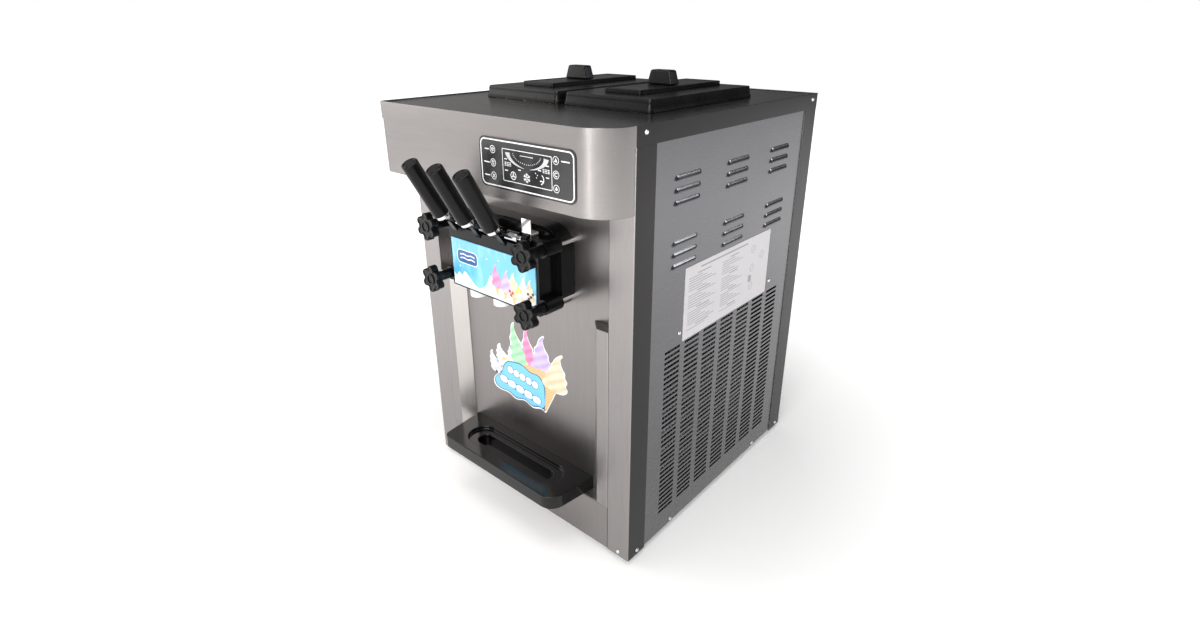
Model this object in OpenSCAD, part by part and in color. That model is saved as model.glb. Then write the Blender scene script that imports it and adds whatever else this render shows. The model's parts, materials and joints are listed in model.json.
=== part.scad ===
// Countertop soft-serve ice cream maker: steel cabinet, twin hoppers and freezing cylinders,
// three-handle dispensing head, drip tray, drive and cooling sets. Millimetres, +Z up, front to -Y.

/* [Cabinet] */
// Width across the corner posts
body_w = 540; // [500:2:660]
// Depth from the front posts to the back
body_d = 590; // [560:2:720]
// Height from the cabinet's underside to the top rim
body_h = 776; // [740:2:940]
// Sheet thickness of the skins and the frame
sheet_t = 1.5; // [1.2:0.1:2]
// Front face width of each corner post
post_w = 50; // [40:1:60]
// Side face width of each front post
post_side = 48; // [40:1:56]
// Height of the top cover's folded rim
rim_h = 30; // [24:1:36]
// Depth of the recessed front panel behind the post faces
recess_d = 24; // [18:1:30]

/* [Hood] */
// Plan radius of the hood's left corner, which is nearly square
left_r = 6; // [5:0.5:30]
// How far the hood stands forward of the posts
hood_reach = 62.5; // [50:0.5:76]
// Height of the hood from its lower edge to the rim's top
hood_h = 128; // [114:1:154]
// Control overlay width
overlay_w = 207; // [180:1:220]
// Control overlay height
overlay_h = 79; // [70:1:80]
// Key diameter
key_d = 13.6; // [11:0.2:16]
// Key travel
key_travel = 0.8; // [0.5:0.1:1]

/* [Niche and tray] */
// Width between the niche's front lips
niche_w = 390; // [340:2:400]
// Height of the niche shelf above the cabinet's underside
shelf_z = 95; // [80:1:114]
// Niche height from the shelf to the top of the lips
niche_h = 350; // [300:2:352]
// Drip tray width at the rear
tray_w = 332; // [280:2:340]
// How far the tray stands forward of the post faces
tray_reach = 76; // [60:1:86]
// Plan radius of the tray's left front corner
tray_left_r = 14; // [6:1:28]
// Plan radius of the tray's right front corner
tray_right_r = 30; // [16:1:40]
// Tray height
tray_h = 26; // [22:1:32]

/* [Dispensing head] */
// Spacing of the draw handles, plungers and outlets
draw_pitch = 64; // [60:1:70]
// Plunger radius
plunger_r = 10.95; // [9.5:0.05:11.5]
// Spacing of the freezing cylinders
cyl_pitch = 124; // [112:1:128]
// Outer radius of the freezing cylinder tube
cyl_r = 45; // [40:0.5:46]
// Length of the freezing cylinders behind the front panel
cyl_len = 294; // [250:2:300]
// Grip length
grip_len = 108; // [90:1:130]
// Grip radius
grip_r = 14; // [12:0.5:16]
// Overall radius of a star knob
knob_r = 25; // [21:0.5:27]
// Knob spacing across the head
stud_dx = 244; // [240:1:252]
// Knob spacing in height
stud_dz = 98; // [94:1:104]

/* [Hoppers and lids] */
// Lid width
lid_w = 193; // [180:1:204]
// Lid depth
lid_d = 325; // [300:1:340]
// Lid side height
lid_h = 21; // [16:1:26]
// Length of the lid's grip
lid_grip_l = 56; // [40:1:66]
// Width of the lid's grip
lid_grip_w = 26; // [20:1:32]
// Gap between the two lids
lid_gap = 12; // [8:1:20]
// Front edge of the lids behind the post faces
lid_y = 127; // [110:1:140]
// Depth of a hopper pan
hopper_depth = 128; // [90:2:140]

/* [Vents] */
// Columns of ventilation slots on a side panel
vent_cols = 7; // [5:1:8]
// Length of one slot
slot_len = 45; // [36:1:50]
// Height of one slot
slot_h = 5.2; // [4:0.2:6]
// Vertical pitch of the slots
slot_pitch = 9.9; // [9:0.1:12]

/* [Feet] */
// Foot height below the cabinet
foot_h = 12; // [8:1:30]
// Foot radius
foot_r = 19; // [15:0.5:24]

/* [Hidden] */
$fn = 96;
hw = body_w / 2;
t = sheet_t;
skin_gap = 0.2;                       // between lapped sheets
body_gap = 0.4;                       // between pieces that move apart
run_fit = 0.05;                       // radial clearance of running fits
post_x = hw - post_w;                 // inner edge of the front posts
rim_z = body_h - rim_h;
deck_z = body_h - 2.5;                // top surface of the deck
hood_z = body_h - hood_h;
hood_r = hood_reach - 0.5;            // plan radius of the hood's right corner
skin_x = hw - t - skin_gap;           // outer face of the side panels
hood_in = t + skin_gap;               // hood shell inside the rim
hood_y = -hood_reach + hood_in;       // front face of the hood shell

head_z = hood_z - 122;                // centre height of the dispensing head
block_lo = head_z - 68;
block_hi = head_z + 46;
block_front = -47;
block_back = -12;
block_hw = 114;
bore_y = -30;
web = 24;                             // webs that carry the stud bosses
stud_r = 4;
flange_w = 254;
flange_h = 146;
flange_r = 39;
pivot_y = -52;
pivot_z = block_hi + 16;
pivot_r = 4;
arm_len = 22;                         // pivot to plunger pin
arm_rest = 20;                        // rest droop of the short arm, degrees
pin_r = 3;
pin_y = pivot_y + arm_len * cos(arm_rest);
pin_z = pivot_z - arm_len * sin(arm_rest);
tilt = 29;                            // grip lean from upright
grip_y = -96;
grip_z = head_z + 86;
grip_edge = 3;
front_reach = -grip_y + (grip_len - grip_edge) * sin(tilt) + grip_r * cos(tilt);
face_y = (front_reach - body_d) / 2;  // post faces, with the whole machine centred on Y

knob_back = -78;
knob_t = 14;
overlay_x = 109;
overlay_z = rim_z - 1.5 - overlay_h / 2;
overlay_t = 1.2;
key_xs = [overlay_x - 71.5, overlay_x + 65];
key_dz = 20.5;

lid_x = (lid_gap + lid_w) / 2;
pan_w = lid_w - 17;
pan_d = lid_d - 17;
lid_yc = lid_y + lid_d / 2;
pan_z = deck_z + 1.2 - hopper_depth;
feed_y = lid_yc;
feed_r = 12;

cyl_x = cyl_pitch / 2;
cyl_back = recess_d + cyl_len;
gear_d = 72;
gear_z = head_z - 50;
belt_y = cyl_back + gear_d + 12;
big_r = 60;
small_r = 25;
motor_x = -40;
motor_z = 150;
fan_y = body_d / 2 - 5;
fan_z = 210;
fan_r = 122;

vent_y = 92;
vent_z = 47;
vent_rows = floor((min(head_z - 136, 0.5 * body_h) - vent_z) / slot_pitch) + 1;
vent_span = body_d - 2 * vent_y - slot_len;
louver_l = 77;
louver_p = 3.5;
louver_rise = 9;
louver_r = (louver_rise * louver_rise + louver_p * louver_p) / (2 * louver_p);

steel = [0.62, 0.60, 0.59];
dark_steel = [0.35, 0.35, 0.36];
bright = [0.82, 0.82, 0.83];
black = [0.06, 0.06, 0.065];
white = [0.93, 0.93, 0.92];

// ---- helpers -------------------------------------------------------------------------------

// Cabinet coordinates: Y from the post faces, Z from the cabinet's underside.
module cab() translate([0, face_y, foot_h]) children();

module sides() for (s = [-1, 1]) scale_x(s) children();
module scale_x(s) if (s > 0) children(); else mirror([1, 0, 0]) children();

// 2D drawing in X and Z, extruded from y0 back to y1.
module slab_y(y0, y1) translate([0, y1, 0]) rotate([90, 0, 0]) linear_extrude(y1 - y0) children();
// 2D drawing in Y and Z, extruded from x0 to x1.
module slab_x(x0, x1) translate([x0, 0, 0]) rotate([90, 0, 90]) linear_extrude(x1 - x0) children();
// 2D drawing in X and Y, extruded from z0 to z1.
module slab_z(z0, z1) translate([0, 0, z0]) linear_extrude(z1 - z0) children();

module box(a, b) translate(a) cube(b - a);
module rod_x(x0, x1, r) translate([x0, 0, 0]) rotate([0, 90, 0]) cylinder(h = x1 - x0, r = r);
module rod_y(y0, y1, r) translate([0, y0, 0]) rotate([-90, 0, 0]) cylinder(h = y1 - y0, r = r);

module round_rect(w, h, r) {
    square([w - 2 * r, h], center = true);
    square([w, h - 2 * r], center = true);
    for (x = [-1, 1], y = [-1, 1]) translate([x * (w / 2 - r), y * (h / 2 - r)]) circle(r);
}

// Plan of the cabinet, its front bowed at the right, drawn inset from the rim's outer face.
module plan(inset) {
    r = hood_r - inset;
    rl = left_r - inset;
    x0 = -hw + inset;
    x1 = hw - inset;
    y0 = -hood_reach + inset;
    translate([x0, y0 + r]) square([x1 - x0, body_d - inset - y0 - r]);
    translate([x0 + rl, y0]) square([x1 - r - x0 - rl, r + 1]);
    translate([x0, y0 + rl]) square([rl + 1, r - rl + 1]);
    translate([x0 + rl, y0 + rl]) circle(rl);
    translate([x1 - r, y0 + r]) circle(r);
}

module stud_places() for (x = [-1, 1], z = [-1, 1])
    translate([x * stud_dx / 2, 0, head_z + z * stud_dz / 2]) children();

// ---- feet and frame ------------------------------------------------------------------------

module rubber_feet() color(black) cab()
    for (x = [-1, 1], y = [60, body_d - 60]) translate([x * (hw - 60), y, 0]) difference() {
        translate([0, 0, -foot_h]) cylinder(h = foot_h, r1 = foot_r - 2, r2 = foot_r);
        translate([0, 0, -foot_h - 1]) cylinder(h = 5, r = 6);
    }

module front_post() linear_extrude(rim_z) polygon([
    [post_x, 0], [hw, 0], [hw, post_side], [hw - t, post_side],
    [hw - t, t], [post_x + t, t], [post_x + t, recess_d], [post_x, recess_d]
]);

module rear_post() linear_extrude(rim_z) polygon([
    [hw, body_d - 50], [hw, body_d], [hw - 50, body_d],
    [hw - 50, body_d - t], [hw - t, body_d - t], [hw - t, body_d - 50]
]);

// Corner posts, base pan and inner rails, welded into one piece.
module cabinet_frame() color(steel) cab() {
    sides() {
        front_post();
        rear_post();
        for (z = [rim_z - 20, gear_z - 30]) box([hw - 30, t, z], [hw - 10, body_d - t, z + 20]);
    }
    difference() {
        box([-hw + t + 2, t, 0], [hw - t - 2, body_d - t, t]);
        for (x = [-120, 0, 120]) translate([x, body_d - 90, -1]) cylinder(h = 5, r = 18);
    }
    box([-hw + 30, cyl_back + 12, gear_z - 20], [hw - 30, cyl_back + 62, gear_z]);
}

// ---- outer skins ---------------------------------------------------------------------------

// Barrel with ball ends that a louver is pressed to, sunk so far that it rises louver_p.
module louver_form(r) translate([louver_p - louver_r, 0, 0]) {
    rod_y(louver_rise, louver_l - louver_rise, r);
    for (y = [louver_rise, louver_l - louver_rise]) translate([0, y, 0]) sphere(r);
}
// Downward-opening pressed louver on a panel whose outer face is at x = 0.
module louver() difference() {
    intersection() {
        louver_form(louver_r);
        box([-0.5, -5, 0], [louver_p + 1, louver_l + 5, louver_rise + 5]);
    }
    louver_form(louver_r - 1.2);
}

louver_ys = [98, (98 + body_d - 181 - 1) / 2 + 1, body_d - 181];
louver_top = hood_z + 34;
module louver_places() for (y = louver_ys, k = [0, 1], i = [0, 1, 2])
    translate([skin_x, y, louver_top - k * 107 - i * 20]) children();

module side_panel() {
    slab_x(skin_x - t, skin_x) difference() {
        translate([30, t + 1]) square([body_d - 60, rim_z + 15 - t - 1]);
        for (c = [0 : vent_cols - 1], r = [0 : vent_rows - 1])
            translate([vent_y + c * vent_span / (vent_cols - 1), vent_z + r * slot_pitch])
                square([slot_len, slot_h]);
        for (y = louver_ys, k = [0, 1], i = [0, 1, 2])
            translate([y + 5, louver_top - k * 107 - i * 20 + 0.6]) square([louver_l - 10, louver_rise - 4]);
    }
    louver_places() louver();
}
module side_panel_left() color(dark_steel) cab() scale_x(-1) side_panel();
module side_panel_right() color(dark_steel) cab() side_panel();

module back_panel() color(dark_steel) cab()
    slab_y(body_d - 2 * t - skin_gap, body_d - t - skin_gap) difference() {
        translate([-hw + 30, t + 1]) square([body_w - 60, rim_z + 15 - t - 1]);
        for (c = [-2 : 2], r = [0 : 23])
            translate([c * 70 - 25, 90 + r * 2 * slot_pitch]) square([50, slot_h]);
    }

module front_panel() color(steel) cab()
    slab_y(recess_d, recess_d + t) difference() {
        translate([-post_x - 20, t + 1]) square([2 * post_x + 40, hood_z + 8]);
        for (s = [-1, 1]) translate([s * cyl_x, head_z]) circle(cyl_r + 0.5);
        for (x = [-1, 1], z = [-1, 1])
            translate([x * stud_dx / 2, head_z + z * stud_dz / 2]) circle(stud_r);
    }

// Lips, splayed cheeks and shelf of the niche, folded from one bright sheet.
module niche_frame() color(bright) cab() {
    lip = post_x - skin_gap;
    mouth = niche_w / 2;
    slant = recess_d - skin_gap;
    sides() slab_z(shelf_z - t, shelf_z + niche_h) polygon([
        [lip, 0], [mouth, 0], [mouth - slant, slant], [mouth - slant + t * 1.4, slant],
        [mouth + t * 0.4, t], [lip, t]
    ]);
    slab_z(shelf_z - t, shelf_z) polygon([
        [-mouth, 0], [mouth, 0], [mouth - slant, slant], [-mouth + slant, slant]
    ]);
    sides() slab_z(shelf_z + niche_h - t, shelf_z + niche_h)
        polygon([[lip, 0], [mouth, 0], [mouth - slant, slant], [lip, slant]]);
}

// Fascia below the niche, with two welded arms that carry the drip tray.
module bottom_fascia() color(steel) cab() {
    w = post_x - skin_gap;
    slab_y(0, t) translate([-w, t + 1]) square([2 * w, shelf_z - 2 * t - 1 - skin_gap]);
    for (s = [-1, 1]) box([s * 100 - 8, -tray_reach + 20, shelf_z - 14], [s * 100 + 8, 0, shelf_z]);
}

module top_cover() color(steel) cab() {
    difference() {
        slab_z(rim_z, body_h) plan(0);
        slab_z(rim_z - 1, body_h + 1) plan(t);
    }
    slab_z(deck_z - t, deck_z) difference() {
        plan(t - 0.01);
        for (s = [-1, 1]) translate([s * lid_x, lid_yc]) square([pan_w + 2, pan_d + 2], center = true);
    }
}

// Bowed hood below the rim, closed underneath back to the front panel.
module hood() color(steel) cab() {
    difference() {
        slab_z(hood_z, rim_z + 15) difference() {
            plan(hood_in);
            plan(hood_in + t);
            translate([-body_w, 0]) square([2 * body_w, body_d]);
        }
        for (x = key_xs, k = [-1, 0, 1]) translate([x, hood_y - 1, overlay_z + k * key_dz])
            rod_y(0, 10, key_d / 2 + 0.6);
    }
    slab_z(hood_z, hood_z + t) {
        difference() {
            plan(hood_in + 0.5);
            translate([-body_w, 0]) square([2 * body_w, body_d]);
        }
        translate([-post_x + skin_gap, -1]) square([2 * (post_x - skin_gap), recess_d + 1]);
    }
}

module screw_head() cylinder(h = 2, r1 = 4, r2 = 2.6);
module cabinet_screws() color(bright) cab() {
    sides() {
        for (y = [22, body_d - 22]) translate([hw, y, rim_z + 19]) rotate([0, 90, 0]) screw_head();
        for (y = [26, body_d - 21]) translate([hw, y, 9]) rotate([0, 90, 0]) screw_head();
        for (y = [133, body_d - 132], z = [9, vent_z + vent_rows * slot_pitch + 18])
            translate([skin_x, y, z]) rotate([0, 90, 0]) screw_head();
        translate([hw - 24, 0, 9]) rotate([90, 0, 0]) screw_head();
        for (z = [60, rim_z - 60]) translate([hw - 56, body_d - t - skin_gap, z])
            rotate([-90, 0, 0]) cylinder(h = t + skin_gap, r1 = 4, r2 = 3);
    }
}

// ---- control panel -------------------------------------------------------------------------

module control_overlay() color(black) cab()
    slab_y(hood_y - overlay_t, hood_y) difference() {
        translate([overlay_x, overlay_z]) round_rect(overlay_w, overlay_h, 12);
        for (x = key_xs, k = [-1, 0, 1]) translate([x, overlay_z + k * key_dz])
            circle(key_d / 2 + body_gap);
    }

module key(col, row) color(black) cab()
    translate([key_xs[col], 0, overlay_z + row * key_dz])
        rod_y(hood_y - overlay_t - 0.3, hood_y, key_d / 2);
module key_left_top() key(0, 1);
module key_left_middle() key(0, 0);
module key_left_bottom() key(0, -1);
module key_right_top() key(1, 1);
module key_right_middle() key(1, 0);
module key_right_bottom() key(1, -1);

// ---- drip tray -----------------------------------------------------------------------------

tray_z = shelf_z + body_gap;
module tray_plan(inset) {
    rear = tray_w / 2 - inset;
    front = tray_w / 2 - 9 - inset;
    rr = tray_right_r - inset;
    rl = tray_left_r - inset;
    y0 = -tray_reach + inset;
    y1 = recess_d - body_gap - inset;
    polygon([
        [-rear, y1], [rear, y1],
        for (a = [0 : 10 : 90]) [front - rr + rr * cos(a), y0 + rr - rr * sin(a)],
        for (a = [90 : 10 : 180]) [rl - front + rl * cos(a), y0 + rl - rl * sin(a)]
    ]);
}
module oval(length, width) {
    square([length - width, width], center = true);
    for (s = [-1, 1]) translate([s * (length - width) / 2, 0]) circle(width / 2);
}
module drip_tray() color(black) cab() {
    trough_y = -24;
    difference() {
        slab_z(tray_z, tray_z + tray_h) tray_plan(0);
        slab_z(tray_z + tray_h - 7, tray_z + tray_h + 1)
            translate([0, trough_y]) oval(tray_w - 86, 60);
        slab_z(tray_z + 5, tray_z + tray_h) translate([0, trough_y]) oval(tray_w - 130, 30);
        difference() {
            slab_z(tray_z - 1, tray_z + tray_h - 3) tray_plan(3);
            slab_z(tray_z + tray_h - 10, tray_z + tray_h) translate([0, trough_y]) oval(tray_w - 80, 66);
            slab_z(tray_z - 2, tray_z + tray_h) translate([0, trough_y]) oval(tray_w - 124, 36);
        }
    }
}

// ---- stickers ------------------------------------------------------------------------------

// Outline of a bunch of cones, centred low on the front panel.
module front_sticker() color([0.5, 0.8, 0.9]) cab()
    slab_y(recess_d - 0.4, recess_d) translate([0, head_z - 240]) polygon([
        [-120, 25], [-116, -15], [-94, -45], [-88, -78], [-30, -80], [36, -76], [50, -78],
        [74, -18], [96, 16], [92, 62], [62, 78], [56, 84], [34, 88], [8, 90], [-24, 88],
        [-46, 76], [-52, 36], [-94, 52], [-104, 30]
    ]);

label_z = vent_z + vent_rows * slot_pitch - 2;
module side_label() color(white) cab()
    slab_x(skin_x, skin_x + 0.3) translate([143, label_z]) square([body_d - 289, 135]);

// ---- dispensing head -----------------------------------------------------------------------

module head_flange() color(black) cab() difference() {
    union() {
        slab_y(-8, recess_d) translate([0, head_z]) round_rect(flange_w, flange_h, flange_r);
        slab_y(block_back, -8)
            translate([0, head_z]) round_rect(flange_w - 8, flange_h - 8, flange_r - 4);
    }
    for (s = [-1, 1]) translate([s * cyl_x, 0, head_z]) rod_y(block_back - 1, recess_d + 1, cyl_r + 0.3);
    stud_places() rod_y(block_back - 1, recess_d + 1, stud_r + 0.6);
}

module lug_profile() {
    polygon([[block_front, block_hi - 8], [-20, block_hi - 8], [-20, block_hi + 4],
             [pivot_y + 8, pivot_z + 6], [pivot_y - 7, pivot_z - 6]]);
    translate([pivot_y, pivot_z]) circle(9.5);
}
lug_xs = [-draw_pitch * 1.5, -draw_pitch / 2, draw_pitch / 2, draw_pitch * 1.5];

module valve_block() color(black) cab() difference() {
    union() {
        slab_y(block_front, block_back)
            translate([-block_hw, block_lo]) square([2 * block_hw, block_hi - block_lo]);
        stud_places() rod_y(block_front, block_back, 13);
        for (z = [-1, 1]) slab_y(block_front, block_back)
            translate([0, head_z + z * stud_dz / 2]) {
                for (s = [-1, 1]) translate([s * (stud_dx / 2 - web / 2), 0]) square(web, center = true);
            }
        for (x = lug_xs) slab_x(x - 6, x + 6) lug_profile();
        for (k = [-1, 0, 1]) translate([k * draw_pitch, bore_y, block_lo - 8]) cylinder(h = 9, r = 13);
    }
    for (k = [-1, 0, 1]) translate([k * draw_pitch, bore_y, block_lo - 9])
        cylinder(h = block_hi - block_lo + 10, r = plunger_r + run_fit);
    stud_places() rod_y(block_front - 1, block_back + 1, stud_r);
    translate([0, pivot_y, pivot_z]) rod_x(-draw_pitch * 2, draw_pitch * 2, pivot_r);
    for (s = [-1, 1]) box([s * draw_pitch - 7, -20, block_lo + 2], [s * draw_pitch + 7, block_back + 1, head_z - 28]);
    box([-6, -20, block_lo + 2], [6, block_back + 1, head_z - 26]);
    box([-40, -18, head_z - 36], [40, block_back + 1, head_z - 26]);
}

module decal_plate() color([0.5, 0.8, 0.93]) cab()
    box([-108, block_front - 2, head_z - 64], [108, block_front, head_z + 25]);

module head_studs() color(bright) cab()
    stud_places() rod_y(knob_back - knob_t + 2, recess_d + 6, stud_r);

module star_knob(sx, sz) color(black) cab()
    translate([sx * stud_dx / 2, 0, head_z + sz * stud_dz / 2]) difference() {
        union() {
            slab_y(knob_back - knob_t, knob_back) {
                circle(knob_r - 6);
                for (a = [0 : 60 : 300]) rotate(a) translate([knob_r - 7.4, 0]) circle(7.4);
            }
            rod_y(knob_back - 1, block_front - body_gap, 9);
        }
        rod_y(knob_back - knob_t - 1, block_front, stud_r + run_fit);
        rod_y(knob_back - knob_t - 1, knob_back - knob_t + 3, 8);
    }
module star_knob_upper_left() star_knob(-1, 1);
module star_knob_upper_right() star_knob(1, 1);
module star_knob_lower_left() star_knob(-1, -1);
module star_knob_lower_right() star_knob(1, -1);

module pivot_pin() color(bright) cab() translate([0, pivot_y, pivot_z])
    rod_x(-draw_pitch * 1.5 - 6, draw_pitch * 1.5 + 6, pivot_r);

// Places children with +Z along a grip, from its lower end.
module on_grip() translate([0, grip_y, grip_z]) rotate([tilt, 0, 0]) children();

module bar_yz(a, b, w) {
    d = b - a;
    translate([a[0], a[1]]) rotate(atan2(d[1], d[0])) translate([0, -w / 2]) square([norm(d), w]);
}

module lever(k) color(bright) cab() translate([k * draw_pitch, 0, 0]) difference() {
    union() {
        translate([0, pivot_y, pivot_z]) rod_x(-14, 14, 8);
        slab_x(-5, 5) bar_yz([pivot_y, pivot_z], [grip_y + 5 * sin(tilt), grip_z - 5 * cos(tilt)], 10);
        for (s = [-1, 1]) slab_x(s * 5 - 1.6, s * 5 + 1.6) {
            bar_yz([pivot_y, pivot_z], [pin_y, pin_z], 8);
            translate([pin_y, pin_z]) circle(5.5);
        }
        translate([0, pin_y, pin_z]) rod_x(-6, 6, pin_r);
        on_grip() {
            translate([0, 0, -7]) cylinder(h = 7, r = grip_r - 3);
            translate([0, 0, -8]) cylinder(h = grip_len * 0.6, r = 5);
        }
    }
    translate([0, pivot_y, pivot_z]) rod_x(-15, 15, pivot_r + run_fit);
}
module lever_left() lever(-1);
module lever_middle() lever(0);
module lever_right() lever(1);

module grip(k) color(black) cab() translate([k * draw_pitch, 0, 0]) on_grip() difference() {
    union() {
        cylinder(h = grip_len - grip_edge, r = grip_r);
        translate([0, 0, grip_len - grip_edge]) cylinder(h = grip_edge, r1 = grip_r, r2 = grip_r - grip_edge);
    }
    translate([0, 0, -1]) cylinder(h = grip_len * 0.6 - 7, r = 5);
}
module grip_left() grip(-1);
module grip_middle() grip(0);
module grip_right() grip(1);

// Draw valve plunger: blank at the bottom, slotted tab for the lever's pin on top.
module plunger(k) color(bright) cab() translate([k * draw_pitch, 0, 0]) difference() {
    union() {
        translate([0, bore_y, block_lo - 6]) cylinder(h = block_hi - block_lo + 4, r = plunger_r);
        slab_x(-3, 3) translate([bore_y - 8.5, block_hi - 4]) square([15, pin_z + 5.5 - block_hi + 4]);
    }
    slab_x(-4, 4) translate([bore_y - 1.1, pin_z]) square([8.8, 2 * pin_r + 0.7], center = true);
}
module plunger_left() plunger(-1);
module plunger_middle() plunger(0);
module plunger_right() plunger(1);

// Push-on outlet caps with a six-point star opening.
module nozzles() color(white) cab()
    for (k = [-1, 0, 1]) translate([k * draw_pitch, bore_y, block_lo - 14]) difference() {
        cylinder(h = 13.6, r = 15.5);
        translate([0, 0, 6]) cylinder(h = 20, r = 13);
        translate([0, 0, -1]) linear_extrude(8) for (a = [0 : 60 : 120]) rotate(a)
            square([16, 4], center = true);
    }

module switch_bracket() color(bright) cab() {
    x = draw_pitch * 1.5;
    box([x - 13, pivot_y + 1, pivot_z + 10], [x + 7.5, pivot_y + 2.5, pivot_z + 34]);
    box([x - 13, pivot_y + 1, pivot_z + 10], [x + 7.5, pivot_y + 18, pivot_z + 11.5]);
    box([x + 6, pivot_y + 1, head_z + stud_dz / 2 + web / 2], [x + 7.5, pivot_y + 18, pivot_z + 11.5]);
}

// ---- hoppers and lids ----------------------------------------------------------------------

module hopper(s) color(bright) cab() translate([s * lid_x, lid_yc, 0]) difference() {
    union() {
        slab_z(pan_z, deck_z + 1.2) round_rect(pan_w, pan_d, 14);
        slab_z(deck_z, deck_z + 1.2) round_rect(pan_w + 9, pan_d + 9, 16);
    }
    slab_z(pan_z + 1.2, deck_z + 2) round_rect(pan_w - 2.4, pan_d - 2.4, 12.8);
    translate([s * (cyl_x - lid_x), 0, pan_z - 1]) cylinder(h = 5, r = feed_r);
}
module hopper_left() hopper(-1);
module hopper_right() hopper(1);

lid_z = deck_z + body_gap;
module lid(s) color(black) cab() translate([s * lid_x, lid_yc, 0]) {
    difference() {
        slab_z(lid_z, lid_z + lid_h) round_rect(lid_w, lid_d, 9);
        slab_z(lid_z - 1, lid_z + lid_h - 3) round_rect(lid_w - 6, lid_d - 6, 6);
    }
    slab_z(lid_z + lid_h, lid_z + lid_h + 8) translate([0, 10]) round_rect(lid_w * 0.42, lid_d * 0.78, 5);
    gx = lid_grip_l / 2;
    translate([0, 2, lid_z + lid_h + 8]) slab_y(-lid_grip_w / 2, lid_grip_w / 2)
        polygon([[-gx, 0], [gx, 0], [gx - 4, 22], [gx - 7, 25], [7 - gx, 25], [4 - gx, 22]]);
}
module lid_left() lid(-1);
module lid_right() lid(1);

module feed_tubes() color(bright) cab() for (s = [-1, 1])
    translate([s * cyl_x, feed_y, head_z + cyl_r - 1]) difference() {
        cylinder(h = pan_z + hopper_depth * 0.7 - head_z - cyl_r, r = feed_r);
        translate([0, 0, -1]) cylinder(h = body_h, r = feed_r - 2.5);
    }

// ---- freezing cylinders and drive ----------------------------------------------------------

module freezing_cylinder(s) color(bright) cab() translate([s * cyl_x, 0, head_z]) difference() {
    union() {
        rod_y(block_back, cyl_back, cyl_r);
        rod_y(recess_d + 16, cyl_back - 18, cyl_r + 7);
    }
    rod_y(block_back - 1, cyl_back - 6, cyl_r - 3);
    rod_y(cyl_back - 7, cyl_back + 1, 8 + run_fit);
    translate([0, feed_y, 0]) cylinder(h = cyl_r + 20, r = feed_r);
}
module freezing_cylinder_left() freezing_cylinder(-1);
module freezing_cylinder_right() freezing_cylinder(1);

// Scraper with two edge blades and turned paddles on a central shaft.
module beater(s) color(white) cab() translate([s * cyl_x, 0, head_z]) {
    reach = cyl_r - 3.6;
    rod_y(0, cyl_back - 8, 10);
    rod_y(cyl_back - 9, cyl_back + 30, 8);
    for (a = [0, 180]) rotate([0, a, 0])
        box([reach - 8, -4, -2], [reach - 0.5, cyl_back - 12, 2]);
    for (i = [0 : 3]) box([-reach + 2, 4 + i * (cyl_back - 34) / 3, -4], [reach - 2, 16 + i * (cyl_back - 34) / 3, 4]);
    for (i = [0 : 6]) translate([0, 30 + i * (cyl_back - 70) / 6, 0]) rotate([0, 90 + i * 30, 0])
        rotate([25, 0, 0]) cube([2 * (reach - 6), 3, 14], center = true);
}
module beater_left() beater(-1);
module beater_right() beater(1);

module gearbox() color([0.7, 0.71, 0.72]) cab() difference() {
    union() {
        box([-cyl_x - 56, cyl_back, gear_z], [cyl_x + 56, cyl_back + gear_d, gear_z + 100]);
        translate([0, 0, head_z]) rod_y(cyl_back + gear_d - 1, cyl_back + gear_d + 6, 24);
    }
    for (s = [-1, 1]) translate([s * cyl_x, 0, head_z]) rod_y(cyl_back - 1, cyl_back + 34, 8 + run_fit);
    translate([0, 0, head_z]) rod_y(cyl_back + 40, cyl_back + gear_d + 10, 9 + run_fit);
}

module pulley(r, shaft, y0) {
    rod_y(belt_y, belt_y + 18, r);
    for (y = [belt_y - 1.5, belt_y + 18]) rod_y(y, y + 1.5, r + 7);
    rod_y(y0, belt_y + 24, shaft);
}
module driven_pulley() color(dark_steel) cab() translate([0, 0, head_z]) difference() {
    pulley(big_r, 9, cyl_back + 44);
    for (a = [0 : 60 : 300]) rotate([0, a, 0]) translate([38, 0, 0]) rod_y(belt_y - 5, belt_y + 25, 11);
}
module motor_pulley() color(dark_steel) cab() translate([motor_x, 0, motor_z])
    pulley(small_r, 8, belt_y - 64);

module belt_line(extra) hull() {
    translate([0, head_z]) circle(big_r + extra, $fn = 64);
    translate([motor_x, motor_z]) circle(small_r + extra, $fn = 64);
}
module belt() color(black) cab() slab_y(belt_y + 2, belt_y + 16) difference() {
    belt_line(6.4);
    belt_line(0.5);
}

module drive_motor() color([0.32, 0.36, 0.4]) cab() difference() {
    union() {
        translate([motor_x, 0, motor_z]) {
            rod_y(belt_y - 170, belt_y - 12, 66);
            for (i = [0 : 7]) rod_y(belt_y - 150 + i * 14, belt_y - 145 + i * 14, 72);
        }
        for (y = [belt_y - 150, belt_y - 50]) box([motor_x - 60, y, t], [motor_x + 60, y + 18, motor_z - 40]);
    }
    translate([motor_x, 0, motor_z]) rod_y(belt_y - 70, belt_y, 8 + run_fit);
}

// ---- cooling -------------------------------------------------------------------------------

module compressor() color([0.1, 0.1, 0.11]) cab() translate([-hw + 120, 125, 0]) {
    translate([0, 0, 22]) cylinder(h = 140, r = 70);
    translate([0, 0, 162]) cylinder(h = 26, r1 = 70, r2 = 46);
    translate([0, 0, 92]) cylinder(h = 6, r = 73);
    box([-78, -78, 14], [78, 78, 20]);
    translate([0, 0, 18]) cylinder(h = 6, r = 50);
    for (x = [-1, 1], y = [-1, 1]) translate([x * 62, y * 62, t]) cylinder(h = 14, r = 12);
    for (a = [40, 200]) rotate(a) translate([40, 0, 170]) cylinder(h = 50, r = 5);
}

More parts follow.
